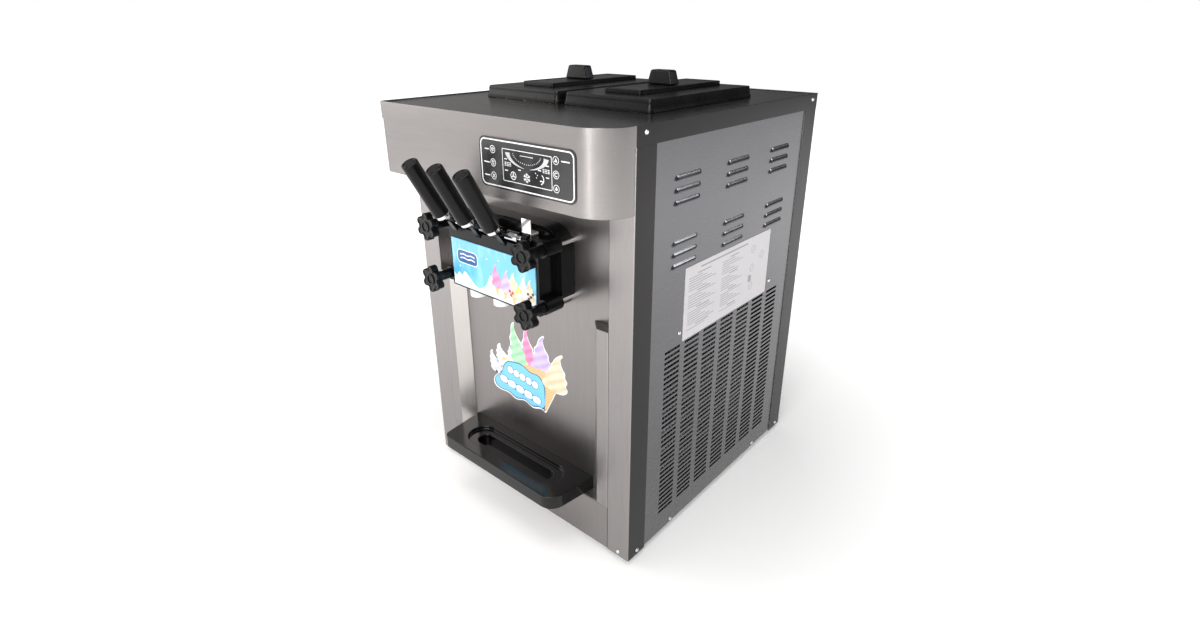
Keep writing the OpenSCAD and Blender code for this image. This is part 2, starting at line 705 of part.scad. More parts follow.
cond_x = hw - 72;
cond_y0 = fan_y - 160;
cond_h = 330;
module condenser() color([0.55, 0.57, 0.58]) cab() {
    fins = 32;
    for (i = [0 : fins]) translate([cond_x, cond_y0 + i * 320 / fins - 0.5, t + 34])
        cube([36, 1, cond_h]);
    for (y = [-3, 321]) translate([cond_x, cond_y0 + y, t]) cube([36, 2, cond_h + 40]);
    for (i = [0 : 7], x = [9, 27]) translate([cond_x + x, 0, t + 54 + i * 41])
        rod_y(cond_y0 - 10, cond_y0 + 332, 5);
    translate([0, fan_y, fan_z]) difference() {
        rod_x(cond_x - 26, cond_x + 1, fan_r + 9);
        rod_x(cond_x - 27, cond_x + 2, fan_r + 6);
    }
}

module fan_motor() color([0.32, 0.36, 0.4]) cab() difference() {
    union() {
        translate([0, fan_y, fan_z]) rod_x(cond_x - 100, cond_x - 46, 34);
        box([cond_x - 90, fan_y - 15, t], [cond_x - 60, fan_y + 15, fan_z - 25]);
    }
    translate([0, fan_y, fan_z]) rod_x(cond_x - 80, cond_x - 40, 4 + run_fit);
}

module fan_blades() color([0.2, 0.2, 0.21]) cab() translate([0, fan_y, fan_z]) {
    rod_x(cond_x - 74, cond_x - 20, 4);
    rod_x(cond_x - 40, cond_x - 6, 24);
    for (a = [0 : 72 : 288]) rotate([a, 0, 0]) translate([cond_x - 22, 0, fan_r / 2 + 8])
        rotate([0, 0, 28]) cube([2, 46, fan_r - 30], center = true);
}

// ---- nodes ---------------------------------------------------------------------------------

rubber_feet();
cabinet_frame();
side_panel_left();
side_panel_right();
back_panel();
front_panel();
niche_frame();
bottom_fascia();
top_cover();
hood();
cabinet_screws();
control_overlay();
key_left_top();
key_left_middle();
key_left_bottom();
key_right_top();
key_right_middle();
key_right_bottom();
drip_tray();
front_sticker();
side_label();
head_flange();
valve_block();
decal_plate();
head_studs();
star_knob_upper_left();
star_knob_upper_right();
star_knob_lower_left();
star_knob_lower_right();
pivot_pin();
lever_left();
lever_middle();
lever_right();
grip_left();
grip_middle();
grip_right();
plunger_left();
plunger_middle();
plunger_right();
nozzles();
switch_bracket();
hopper_left();
hopper_right();
lid_left();
lid_right();
feed_tubes();
freezing_cylinder_left();
freezing_cylinder_right();
beater_left();
beater_right();
gearbox();
driven_pulley();
belt();
drive_motor();
motor_pulley();
compressor();
condenser();
fan_motor();
fan_blades();
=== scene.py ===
import bpy
import bmesh
import json
import math
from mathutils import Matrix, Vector

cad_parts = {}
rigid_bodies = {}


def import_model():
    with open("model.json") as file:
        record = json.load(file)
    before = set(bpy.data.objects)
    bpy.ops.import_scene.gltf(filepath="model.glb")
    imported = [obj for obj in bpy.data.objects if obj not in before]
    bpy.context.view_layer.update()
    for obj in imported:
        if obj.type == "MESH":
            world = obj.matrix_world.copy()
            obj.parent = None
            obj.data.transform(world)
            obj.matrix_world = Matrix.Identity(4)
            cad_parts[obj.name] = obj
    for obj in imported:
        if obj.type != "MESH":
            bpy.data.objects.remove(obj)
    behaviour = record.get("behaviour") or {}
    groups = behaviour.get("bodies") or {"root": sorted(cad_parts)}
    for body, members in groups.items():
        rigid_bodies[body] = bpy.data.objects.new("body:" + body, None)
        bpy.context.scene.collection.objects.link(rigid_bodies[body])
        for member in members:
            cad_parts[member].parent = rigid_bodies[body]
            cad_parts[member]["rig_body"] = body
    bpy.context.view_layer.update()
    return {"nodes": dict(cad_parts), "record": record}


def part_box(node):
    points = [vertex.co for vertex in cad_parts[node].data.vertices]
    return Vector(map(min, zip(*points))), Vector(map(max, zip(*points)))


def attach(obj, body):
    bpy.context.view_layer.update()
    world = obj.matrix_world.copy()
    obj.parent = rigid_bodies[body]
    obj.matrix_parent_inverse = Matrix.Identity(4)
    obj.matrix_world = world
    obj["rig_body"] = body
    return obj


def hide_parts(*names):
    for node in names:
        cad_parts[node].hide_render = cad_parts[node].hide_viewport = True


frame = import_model()
scene = bpy.context.scene

# Places are written in cabinet millimetres: X across, Y back from the post faces, Z up from the base.
postLow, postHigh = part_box("cabinet_frame")
cabinet = {
    "halfWidth": postHigh.x * 1000,
    "faceY": postLow.y * 1000,
    "footHigh": postLow.z * 1000,
    "depth": (postHigh.y - postLow.y) * 1000,
}


def at(x, y, z):
    return Vector((x, y + cabinet["faceY"], z + cabinet["footHigh"])) / 1000


def local(point):
    return Vector((point.x * 1000, point.y * 1000 - cabinet["faceY"], point.z * 1000 - cabinet["footHigh"]))


def localBox(node):
    low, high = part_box(node)
    return local(low), local(high)


# camera and lights

view = {"place": (821, -715, 907), "turn": -40.84, "down": 22.05, "lens": 19.455, "shiftY": -0.02425}

camData = bpy.data.cameras.new("camera")
camData.lens = view["lens"]
camData.sensor_width = 36
camData.shift_y = view["shiftY"]
camData.clip_end = 30
camera = bpy.data.objects.new("camera", camData)
scene.collection.objects.link(camera)
camera.location = at(*view["place"])
camera.rotation_euler = (math.radians(90 - view["down"]), 0, math.radians(-view["turn"]))
scene.camera = camera
scene.view_settings.view_transform = "Standard"

lamps = {
    # name: place in metres, aim, width, height, watts, colour
    "windowBehind": ((1.5, -3.0, 2.0), (0, 0, 0.45), 1.7, 2.2, 62, (1.0, 0.985, 0.96)),
    "softLeft": ((-2.6, -1.6, 1.6), (0, 0, 0.45), 1.6, 2.2, 34, (1.0, 0.97, 0.95)),
    "overhead": ((0.1, -0.5, 3.2), (0, 0, 0.5), 2.4, 1.8, 46, (1.0, 1.0, 1.0)),
    "stripFront": ((0.42, -2.6, 0.9), (0.2, -0.2, 0.5), 0.10, 1.9, 14, (1.0, 1.0, 1.0)),
    "rim": ((2.4, 2.2, 1.9), (0, 0, 0.5), 0.9, 1.4, 12, (0.93, 0.96, 1.0)),
}

for lampName, (place, aim, wide, high, watts, colour) in lamps.items():
    lampData = bpy.data.lights.new(lampName, "AREA")
    lampData.shape = "RECTANGLE"
    lampData.size = wide
    lampData.size_y = high
    lampData.energy = watts
    lampData.color = colour
    lamp = bpy.data.objects.new(lampName, lampData)
    scene.collection.objects.link(lamp)
    lamp.location = place
    lamp.rotation_euler = (Vector(aim) - Vector(place)).to_track_quat("-Z", "Y").to_euler()
print("camera and", len(lamps), "lamps")


# shader maths

class Field:
    # A socket that plain Python maths can be written on.
    def __init__(self, tree, socket):
        self.tree = tree
        self.socket = socket

    def maths(self, operation, first, second=None):
        node = self.tree.nodes.new("ShaderNodeMath")
        node.operation = operation
        for index, value in enumerate((first, second)):
            if isinstance(value, Field):
                self.tree.links.new(value.socket, node.inputs[index])
            elif value is not None:
                node.inputs[index].default_value = value
        return Field(self.tree, node.outputs[0])

    def __add__(self, other):
        return self.maths("ADD", self, other)

    def __radd__(self, other):
        return self.maths("ADD", other, self)

    def __mul__(self, other):
        return self.maths("MULTIPLY", self, other)

    def __rmul__(self, other):
        return self.maths("MULTIPLY", other, self)


class Finish:
    # One material: its principled shader, and a method that makes any other node.
    def __init__(self, name, **constants):
        self.material = bpy.data.materials.new(name)
        self.material.use_nodes = True
        self.tree = self.material.node_tree
        self.shader = self.tree.nodes["Principled BSDF"]
        for socket, value in constants.items():
            self.shader.inputs[socket.replace("_", " ")].default_value = value
        self.coords = self.node("ShaderNodeTexCoord", output="Object")

    def node(self, kind, settings=None, output=0, **inputs):
        made = self.tree.nodes.new(kind)
        for key, value in (settings or {}).items():
            setattr(made, key, value)
        for key, value in inputs.items():
            name = key.replace("_", " ")
            socket = made.inputs[int(key[1:])] if key[0] == "i" and key[1:].isdigit() else made.inputs[name]
            if isinstance(value, Field):
                self.tree.links.new(value.socket, socket)
            else:
                socket.default_value = value
        return Field(self.tree, made.outputs[output])

    def feed(self, socket, field):
        self.tree.links.new(field.socket, self.shader.inputs[socket])

    def stretched(self, scale, turn=(0, 0, 0)):
        return self.node("ShaderNodeMapping", Vector=self.coords, Scale=scale, Rotation=turn)

    def noise(self, vector, scale, detail=3.0, rough=0.5):
        return self.node("ShaderNodeTexNoise", Vector=vector, Scale=scale, Detail=detail, Roughness=rough)

    def blend(self, factor, first, second, mode="MIX"):
        four = [(*c, 1) if isinstance(c, tuple) and len(c) == 3 else c for c in (first, second)]
        return self.node("ShaderNodeMix", {"data_type": "RGBA", "blend_type": mode}, output=2,
                         i0=factor, i6=four[0], i7=four[1])

    def spread(self, field, low, high, toLow=0.0, toHigh=1.0):
        return self.node("ShaderNodeMapRange", Value=field, From_Min=low, From_Max=high,
                         To_Min=toLow, To_Max=toHigh)

    def bump(self, height, distance, strength=1.0):
        made = self.tree.nodes.new("ShaderNodeBump")
        made.inputs["Distance"].default_value = distance
        made.inputs["Strength"].default_value = strength
        self.tree.links.new(height.socket, made.inputs["Height"])
        self.tree.links.new(made.outputs[0], self.shader.inputs["Normal"])


def steelFinish(name, tone, grainAxis, rough=0.3, contrast=0.06, pull=0.25):
    # Wire-drawn stainless: long fine scratches along one axis, with cloudy handling marks.
    made = Finish(name, Metallic=1.0, Anisotropic=pull)
    along = [1.0 if axis == grainAxis else 60.0 for axis in "xyz"]
    fine = made.noise(made.stretched(along), 22.0, 2.0, 0.6)
    coarse = made.noise(made.stretched([1.0 if a == 1.0 else 14.0 for a in along]), 9.0, 3.0)
    clouds = made.noise(made.coords, 4.5, 4.0, 0.55)
    grain = made.spread(fine * 0.6 + coarse * 0.4, 0.32, 0.68)
    dark = tuple(c * (1 - contrast) for c in tone)
    light = tuple(min(1.0, c * (1 + contrast)) for c in tone)
    colour = made.blend(grain, dark, light)
    made.feed("Base Color", made.blend(made.spread(clouds, 0.35, 0.7, 0.0, 0.3), colour,
                                       tuple(c * 0.92 for c in tone)))
    made.feed("Roughness", made.spread(grain * 0.6 + clouds * 0.4, 0.2, 0.8, rough - 0.04, rough + 0.06))
    made.bump(grain, 0.000004, 0.2)
    return made.material


def plasticFinish(name, tone, rough, grain, depth, coat=0.0, wear=0.12, shine=0.5):
    # Moulded plastic: fine moulded grain, slightly uneven gloss and faint dust in the colour.
    made = Finish(name, Metallic=0.0, Coat_Weight=coat, Coat_Roughness=0.12, Specular_IOR_Level=shine)
    pebble = made.noise(made.coords, grain, 3.0, 0.55)
    clouds = made.noise(made.coords, 16.0, 4.0, 0.6)
    lifted = tuple(min(1.0, c * (1 + wear) + wear * 0.006) for c in tone)
    made.feed("Base Color", made.blend(made.spread(clouds, 0.35, 0.75), tone, lifted))
    made.feed("Roughness", made.spread(clouds * 0.7 + pebble * 0.3, 0.3, 0.7, rough - 0.05, rough + 0.08))
    made.bump(pebble, depth, 0.6)
    return made.material


def metalFinish(name, tone, rough, grain=160.0, depth=0.00004):
    # Plain machined, cast or plated metal with a fine uneven surface.
    made = Finish(name, Metallic=1.0)
    pits = made.noise(made.coords, grain, 4.0, 0.6)
    clouds = made.noise(made.coords, 14.0, 3.0)
    made.feed("Base Color", made.blend(made.spread(clouds, 0.3, 0.7), tuple(c * 0.86 for c in tone), tone))
    made.feed("Roughness", made.spread(pits * 0.5 + clouds * 0.5, 0.3, 0.7, rough * 0.7, rough * 1.3))
    made.bump(pits, depth, 0.5)
    return made.material


def paintFinish(name, tone, rough):
    made = Finish(name, Metallic=0.0, Coat_Weight=0.3, Coat_Roughness=0.2)
    peel = made.noise(made.coords, 220.0, 2.0)
    dust = made.noise(made.coords, 22.0, 5.0, 0.7)
    made.feed("Base Color", made.blend(made.spread(dust, 0.5, 0.8, 0.0, 0.5), tone, (0.2, 0.19, 0.18)))
    made.feed("Roughness", made.spread(dust, 0.3, 0.7, rough, rough + 0.2))
    made.bump(peel, 0.00008, 0.4)
    return made.material


def printFinish(name, tone, rough=0.35, gloss=0.2):
    # Printed ink or film: an almost even colour with a faint screen grain.
    made = Finish(name, Metallic=0.0, Coat_Weight=gloss, Coat_Roughness=0.15)
    screen = made.noise(made.coords, 900.0, 2.0)
    clouds = made.noise(made.coords, 30.0, 3.0)
    made.feed("Base Color", made.blend(made.spread(screen * 0.5 + clouds * 0.5, 0.35, 0.65),
                                       tuple(c * 0.93 for c in tone), tone))
    made.feed("Roughness", made.spread(clouds, 0.3, 0.7, rough - 0.05, rough + 0.06))
    made.bump(screen, 0.00002, 0.3)
    return made.material


def creamFinish(name, tone, shade):
    # Printed soft serve: slanting folds that run from the light tone to its shade.
    made = Finish(name, Metallic=0.0, Coat_Weight=0.2, Coat_Roughness=0.15, Roughness=0.35)
    folds = made.node("ShaderNodeTexWave", {"wave_type": "BANDS", "bands_direction": "Z"},
                      Vector=made.stretched((1, 1, 1), (0, math.radians(28), 0)), Scale=19.0,
                      Distortion=1.2, Detail=1.0, Detail_Scale=1.0)
    soft = made.noise(made.coords, 60.0, 3.0)
    amount = made.spread(folds * 0.4 + soft * 0.6, 0.0, 0.7)
    made.feed("Base Color", made.blend(amount, shade, tone))
    return made.material


def waferFinish(name):
    # Printed wafer cone: crossed darker lines over a baked tan.
    made = Finish(name, Metallic=0.0, Coat_Weight=0.2, Coat_Roughness=0.15, Roughness=0.4)
    lines = []
    for turn in (35, -35):
        wave = made.node("ShaderNodeTexWave", {"wave_type": "BANDS", "bands_direction": "Z"}, Scale=60.0,
                         Vector=made.stretched((1, 1, 1), (0, math.radians(turn), 0)))
        lines.append(made.spread(wave, 0.0, 0.25, 1.0, 0.0))
    crossed = lines[0].maths("MAXIMUM", lines[0], lines[1])
    made.feed("Base Color", made.blend(crossed * 0.6, (0.83, 0.50, 0.24), (0.50, 0.25, 0.10)))
    return made.material


finishes = {
    "cabinetSteel": steelFinish("cabinetSteel", (0.26, 0.244, 0.238), "z", 0.32),
    "postSteel": steelFinish("postSteel", (0.29, 0.274, 0.27), "z", 0.3),
    "hoodSteel": steelFinish("hoodSteel", (0.28, 0.265, 0.259), "x", 0.33),
    "coverSteel": steelFinish("coverSteel", (0.20, 0.19, 0.187), "x", 0.22),
    # painted shade: the side panels take a darker tone of the cabinet stainless
    "shadedSideSteel": steelFinish("shadedSideSteel", (0.155, 0.152, 0.158), "y", 0.26),
    # painted shade: a near-black tone of the same stainless for the side faces of posts and cover
    "shadedEdgeSteel": steelFinish("shadedEdgeSteel", (0.04, 0.038, 0.039), "z", 0.34),
    # painted highlight: a much brighter tone of the same stainless for the niche cheeks
    "highlightNicheSteel": steelFinish("highlightNicheSteel", (0.50, 0.475, 0.46), "z", 0.3),
    # also the painted highlight on the upper slopes of the side panel louvers
    "hopperSteelAndHighlight": steelFinish("hopperSteelAndHighlight", (0.62, 0.62, 0.62), "x", 0.24),
    "chrome": metalFinish("chrome", (0.82, 0.82, 0.83), 0.12, 90.0, 0.00001),
    "filmBlack": printFinish("filmBlack", (0.014, 0.014, 0.016), 0.28, 0.25),
    "trayBlack": plasticFinish("trayBlack", (0.003, 0.003, 0.0035), 0.13, 700.0, 0.00001, 0.15, shine=0.25),
    "headBlack": plasticFinish("headBlack", (0.003, 0.003, 0.0035), 0.18, 600.0, 0.00001, shine=0.2),
    "knobBlack": plasticFinish("knobBlack", (0.003, 0.003, 0.0035), 0.26, 1400.0, 0.00002, shine=0.2),
    "gripBlack": plasticFinish("gripBlack", (0.003, 0.003, 0.0035), 0.3, 1100.0, 0.00004, shine=0.2),
    "lidBlack": plasticFinish("lidBlack", (0.004, 0.004, 0.0045), 0.26, 900.0, 0.00003, shine=0.25),
    "outletWhite": plasticFinish("outletWhite", (0.80, 0.80, 0.78), 0.4, 500.0, 0.00004),
    "footRubber": plasticFinish("footRubber", (0.02, 0.02, 0.02), 0.75, 800.0, 0.0002),
    "castAluminium": metalFinish("castAluminium", (0.55, 0.56, 0.57), 0.5, 300.0, 0.0003),
    "finAluminium": metalFinish("finAluminium", (0.62, 0.63, 0.64), 0.35),
    "castIron": metalFinish("castIron", (0.22, 0.22, 0.23), 0.45, 400.0, 0.0002),
    "motorPaint": paintFinish("motorPaint", (0.10, 0.14, 0.19), 0.35),
    "blackPaint": paintFinish("blackPaint", (0.012, 0.012, 0.013), 0.3),
    "beltRubber": plasticFinish("beltRubber", (0.015, 0.015, 0.015), 0.7, 500.0, 0.0002),
    "labelPaper": printFinish("labelPaper", (0.68, 0.66, 0.68), 0.5, 0.1),
    "inkGrey": printFinish("inkGrey", (0.34, 0.335, 0.36), 0.5, 0.1),
    "inkWhite": printFinish("inkWhite", (0.86, 0.86, 0.86)),
    "inkSilver": printFinish("inkSilver", (0.52, 0.53, 0.55)),
    "inkBlue": printFinish("inkBlue", (0.17, 0.55, 0.83)),
    "inkNavy": printFinish("inkNavy", (0.02, 0.11, 0.30)),
    "inkYellow": printFinish("inkYellow", (0.93, 0.62, 0.06)),
    "inkRed": printFinish("inkRed", (0.70, 0.04, 0.05)),
    "inkCocoa": printFinish("inkCocoa", (0.03, 0.018, 0.014)),
    "mintCream": creamFinish("mintCream", (0.42, 0.72, 0.46), (0.16, 0.46, 0.24)),
    "pinkCream": creamFinish("pinkCream", (0.80, 0.30, 0.50), (0.60, 0.10, 0.28)),
    "lilacCream": creamFinish("lilacCream", (0.58, 0.48, 0.80), (0.34, 0.24, 0.56)),
    "vanillaCream": creamFinish("vanillaCream", (0.78, 0.66, 0.48), (0.56, 0.40, 0.24)),
    "milkCream": creamFinish("milkCream", (0.74, 0.74, 0.80), (0.46, 0.46, 0.56)),
    "wafer": waferFinish("wafer"),
}


def skyFinish():
    # Head plate: sky blue that turns a little paler towards the top.
    made = Finish("plateSky", Metallic=0.0, Coat_Weight=0.3, Coat_Roughness=0.1, Roughness=0.25)
    low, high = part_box("decal_plate")
    parts = made.tree.nodes.new("ShaderNodeSeparateXYZ")
    made.tree.links.new(made.coords.socket, parts.inputs[0])
    height = made.spread(Field(made.tree, parts.outputs[2]), low.z, high.z)
    clouds = made.noise(made.stretched((1, 1, 0.4)), 45.0, 4.0)
    tone = made.blend(height, (0.11, 0.48, 0.74), (0.14, 0.46, 0.70))
    made.feed("Base Color", made.blend(made.spread(clouds, 0.5, 0.8, 0.0, 0.5), tone, (0.55, 0.82, 0.94)))
    return made.material


finishes["plateSky"] = skyFinish()
print(len(finishes), "finishes")


# modelling helpers

def deselect():
    if bpy.context.mode != "OBJECT":
        bpy.ops.object.mode_set(mode="OBJECT")
    bpy.ops.object.select_all(action="DESELECT")


def activate(piece):
    deselect()
    piece.select_set(True)
    bpy.context.view_layer.objects.active = piece


def settle(piece):
    # Puts the object's place into its mesh.
    activate(piece)
    bpy.ops.object.transform_apply(location=True, rotation=True, scale=True)
    return piece


def block(name, low, high):
    deselect()
    bpy.ops.mesh.primitive_cube_add(size=1, location=(at(*low) + at(*high)) / 2)
    piece = bpy.context.object
    piece.name = name
    piece.scale = [(b - a) / 1000 for a, b in zip(low, high)]
    return settle(piece)


def rod(name, radius, depth, sides=64):
    # Stands on the world origin, along +Z, in millimetres.
    deselect()
    bpy.ops.mesh.primitive_cylinder_add(vertices=sides, radius=radius / 1000, depth=depth / 1000,
                                        location=(0, 0, depth / 2000))
    piece = bpy.context.object
    piece.name = name
    return settle(piece)


def pickFaces(piece, test):
    # Into edit mode with the faces chosen whose centre and normal pass the test.
    activate(piece)
    bpy.ops.object.mode_set(mode="EDIT")
    bpy.ops.mesh.select_mode(type="FACE")
    mesh = bmesh.from_edit_mesh(piece.data)
    for face in mesh.faces:
        face.select_set(bool(test(face.calc_center_median(), face.normal)))
    bmesh.update_edit_mesh(piece.data)


def pickEdges(piece, test):
    activate(piece)
    bpy.ops.object.mode_set(mode="EDIT")
    bpy.ops.mesh.select_mode(type="EDGE")
    bpy.ops.mesh.select_all(action="DESELECT")
    mesh = bmesh.from_edit_mesh(piece.data)
    for edge in mesh.edges:
        if len(edge.link_faces) == 2 and edge.calc_face_angle(0) > 0.3 and test(*[v.co for v in edge.verts]):
            edge.select_set(True)
    bmesh.update_edit_mesh(piece.data)


def bevel(width, segments, clamp=False):
    bpy.ops.mesh.bevel(offset=width / 1000, segments=segments, affect="EDGES", clamp_overlap=clamp)


def inset(thickness, depth=0.0):
    bpy.ops.mesh.inset(thickness=thickness / 1000, depth=depth / 1000, use_even_offset=True)


def pull(vector):
    bpy.ops.mesh.extrude_region_move(TRANSFORM_OT_translate={"value": [c / 1000 for c in vector]})


def swell(factors, centre):
    bpy.ops.transform.resize(value=factors, center_override=centre)


def softEdges(piece, width, segments=2, angle=35):
    # Rounds every sharp edge with a bevel modifier, then applies it.
    deselect()
    activate(piece)
    made = piece.modifiers.new("bevel", "BEVEL")
    made.width = width / 1000
    made.segments = segments
    made.limit_method = "ANGLE"
    made.angle_limit = math.radians(angle)
    made.use_clamp_overlap = True
    bpy.ops.object.modifier_apply(modifier=made.name)
    return piece


def smooth(piece, angle=32):
    activate(piece)
    bpy.ops.object.shade_smooth_by_angle(angle=math.radians(angle))
    made = piece.modifiers.new("even", "WEIGHTED_NORMAL")
    made.keep_sharp = True
    bpy.ops.object.modifier_apply(modifier=made.name)
    return piece


def join(name, pieces):
    deselect()
    for piece in pieces:
        piece.select_set(True)
    bpy.context.view_layer.objects.active = pieces[0]
    if len(pieces) > 1:
        bpy.ops.object.join()
    pieces[0].name = name
    return pieces[0]


def paint(piece, finish):
    piece.data.materials.clear()
    piece.data.materials.append(finishes[finish])
    return piece


def paintSome(piece, finish, test):
    # A second finish on the faces whose centre and normal pass the test.
    piece.data.materials.append(finishes[finish])
    for face in piece.data.polygons:
        if test(local(face.center), face.normal):
            face.material_index = len(piece.data.materials) - 1
    return piece


def copyOf(node, name):
    # A welded copy of a CAD node, with its flat faces made whole.
    piece = frame["nodes"][node].copy()
    piece.data = piece.data.copy()
    scene.collection.objects.link(piece)
    piece.parent = None
    for key in list(piece.keys()):
        del piece[key]
    piece.name = name
    activate(piece)
    bpy.ops.object.mode_set(mode="EDIT")
    bpy.ops.mesh.select_all(action="SELECT")
    bpy.ops.mesh.customdata_custom_splitnormals_clear()
    bpy.ops.mesh.remove_doubles(threshold=0.00001)
    bpy.ops.mesh.dissolve_limited(angle_limit=math.radians(0.6))
    bpy.ops.object.mode_set(mode="OBJECT")
    return piece


def finishPiece(piece, finish, body, *nodes, slot=None, angle=32):
    smooth(piece, angle)
    paint(piece, finish)
    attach(piece, body)
    if nodes:
        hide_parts(*nodes)
        slot = slot or slotOf[nodes[0]]
    return piece


slotOf = {part["node"]: part["material_slot"] for part in frame["record"]["subparts"]}


# cabinet skins

skins = {"foldRadius": 2.2, "foldSteps": 3, "hemRadius": 0.6, "leftCorner": 4.3, "seam": 0.5,
         "underRim": 1.7, "hoodEdge": 1.1}
half = cabinet["halfWidth"]
hoodLow = localBox("hood")[0]


def near(value, target, slack=0.15):
    return abs(value - target) < slack


def bentPosts():
    posts = copyOf("cabinet_frame", "cabinetPosts")
    inner = localBox("niche_frame")[1].x + 0.2

    def outerFold(a, b):
        a, b = local(a), local(b)
        upright = abs(a.z - b.z) > 200 and near(a.x, b.x) and near(a.y, b.y)
        corner = near(abs(a.x), half) and (near(a.y, 0) or near(a.y, cabinet["depth"]))
        return upright and (corner or (near(abs(a.x), inner, 0.4) and near(a.y, 0)))
    pickEdges(posts, outerFold)
    bevel(skins["foldRadius"], skins["foldSteps"])
    finishPiece(posts, "postSteel", "cabinet", "cabinet_frame")
    # the posts' outer side faces get the near-black steel, a painted shade
    return paintSome(posts, "shadedEdgeSteel", lambda c, n: abs(n.x) > 0.9 and near(abs(c.x), half))


def bentHood():
    hood = copyOf("hood", "hoodShell")
    base = hoodLow.z

    def lowerFold(a, b):
        a, b = local(a), local(b)
        return near(a.z, base) and near(b.z, base) and min(a.y, b.y) < 0.1 and onOutline(a) and onOutline(b)

    reach = half - skins["underRim"]
    tight = skins["leftCorner"]

    def onOutline(p):
        # On the hood's outline: straight left flank and front, a tight left corner, a bowed right one.
        if p.x > reach + hoodLow.y:
            return near(math.hypot(p.x - reach - hoodLow.y, p.y), -hoodLow.y, 0.8)
        if p.x < tight - reach:
            turn = math.hypot(p.x + reach - tight, p.y - hoodLow.y - tight)
            return near(p.x, -reach, 0.3) or near(turn, tight, 0.4)
        return near(p.y, hoodLow.y, 0.3)
    pickEdges(hood, lowerFold)
    bevel(skins["hoodEdge"], skins["foldSteps"], True)
    return finishPiece(hood, "hoodSteel", "cabinet", "hood", angle=40)


def bentCover():
    cover = copyOf("top_cover", "topCover")
    low, high = localBox("top_cover")

    def rimEdges(a, b):
        a, b = local(a), local(b)
        level = near(a.z, b.z) and (near(a.z, low.z) or near(a.z, high.z))
        upright = near(a.x, b.x) and near(abs(a.x), half) and near(a.y, cabinet["depth"]) and near(b.y, a.y)
        return level or upright
    pickEdges(cover, rimEdges)
    bevel(skins["hemRadius"], 2, True)
    finishPiece(cover, "coverSteel", "cabinet", "top_cover", angle=40)
    # painted light: the rim's front faces get the lighter hood tone, its side faces the near-black shade tone
    paintSome(cover, "hoodSteel", lambda c, n: abs(n.z) < 0.5 and c.y < 0.1)
    return paintSome(cover, "shadedEdgeSteel", lambda c, n: abs(n.x) > 0.9 and near(abs(c.x), half) and c.y > 0)


def nicheLining():
    # The flat lips are the same sheet as the posts; the splayed cheeks keep a much brighter tone of it, a painted
    # highlight.
    niche = softEdges(copyOf("niche_frame", "nicheFrame"), skins["seam"], 1)
    finishPiece(niche, "highlightNicheSteel", "cabinet", "niche_frame")
    return paintSome(niche, "postSteel", lambda c, n: n.y < -0.9 and c.y < 1)


def louverPanel(side, sign):
    # The side panel takes the darker shade steel; the pressed louvers get a painted highlight along their upper
    # slopes.
    panel = copyOf("side_panel_" + side, "sidePanel" + side.capitalize())
    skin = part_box("side_label")[0].x * 1000
    finishPiece(panel, "shadedSideSteel", "cabinet", "side_panel_" + side, angle=18)
    return paintSome(panel, "hopperSteelAndHighlight", lambda c, n: sign * c.x > skin + 0.5 and n.z > 0.45)


bentPosts()
bentHood()
bentCover()
nicheLining()
for side, sign in (("left", -1), ("right", 1)):
    louverPanel(side, sign)
print("cabinet skins folded")


# hopper lids

lidShape = {"flange": 5.0, "step": 1.6, "draft": 0.985, "corner": 9, "knobTop": (0.75, 0.86),
            "rise": 33, "plateHalf": (40.5, 126.7), "gripHalf": (28, 13)}


def hopperLid(side):
    low, high = localBox("lid_" + side)
    midX = (low.x + high.x) / 2
    midY = (low.y + high.y) / 2
    rimTop = high.z - lidShape["rise"]
    shell = block("lidShell", (low.x, low.y, low.z), (high.x, high.y, low.z + lidShape["flange"]))
    upright = lambda a, b: abs(a.z - b.z) > 0.002
    pickEdges(shell, upright)
    bevel(lidShape["corner"], 6)
    pickFaces(shell, lambda c, n: n.z > 0.9)
    inset(lidShape["step"])
    pull((0, 0, rimTop - low.z - lidShape["flange"]))
    swell((lidShape["draft"], lidShape["draft"], 1), at(midX, midY, rimTop))
    pickFaces(shell, lambda c, n: n.z < -0.9)
    inset(3.0)
    pull((0, 0, rimTop - low.z - 3))
    bpy.ops.object.mode_set(mode="OBJECT")
    softEdges(shell, 1.6, 3)
    deckY = midY + 10
    wide, deep = lidShape["plateHalf"]
    plate = block("lidPlate", (midX - wide, deckY - deep, rimTop - 0.5), (midX + wide, deckY + deep, rimTop + 8))
    pickEdges(plate, upright)
    bevel(5, 4)
    bpy.ops.object.mode_set(mode="OBJECT")
    softEdges(plate, 1.5, 3)
    # the groove's insets stay inside the corner radius
    pickFaces(plate, lambda c, n: n.z > 0.999)
    inset(1.8)
    inset(0.9, -0.8)
    bpy.ops.object.mode_set(mode="OBJECT")
    knobY = midY + 2
    wide, deep = lidShape["gripHalf"]
    knob = block("lidKnob", (midX - wide, knobY - deep, rimTop + 7.6), (midX + wide, knobY + deep, high.z))
    pickFaces(knob, lambda c, n: n.z > 0.9)
    swell((*lidShape["knobTop"], 1), at(midX, knobY, high.z))
    bpy.ops.object.mode_set(mode="OBJECT")
    softEdges(knob, 3.2, 4)
    lid = join("hopperLid" + side.capitalize(), [shell, plate, knob])
    return finishPiece(lid, "lidBlack", "lid_" + side, "lid_" + side)


for side in ("left", "right"):
    hopperLid(side)
print("lids modelled")


# handles

gripShape = {"radius": 14, "tilt": 29, "cap": 2.4, "groove": 1.1, "places": {"left": -64, "middle": 0, "right": 64}}


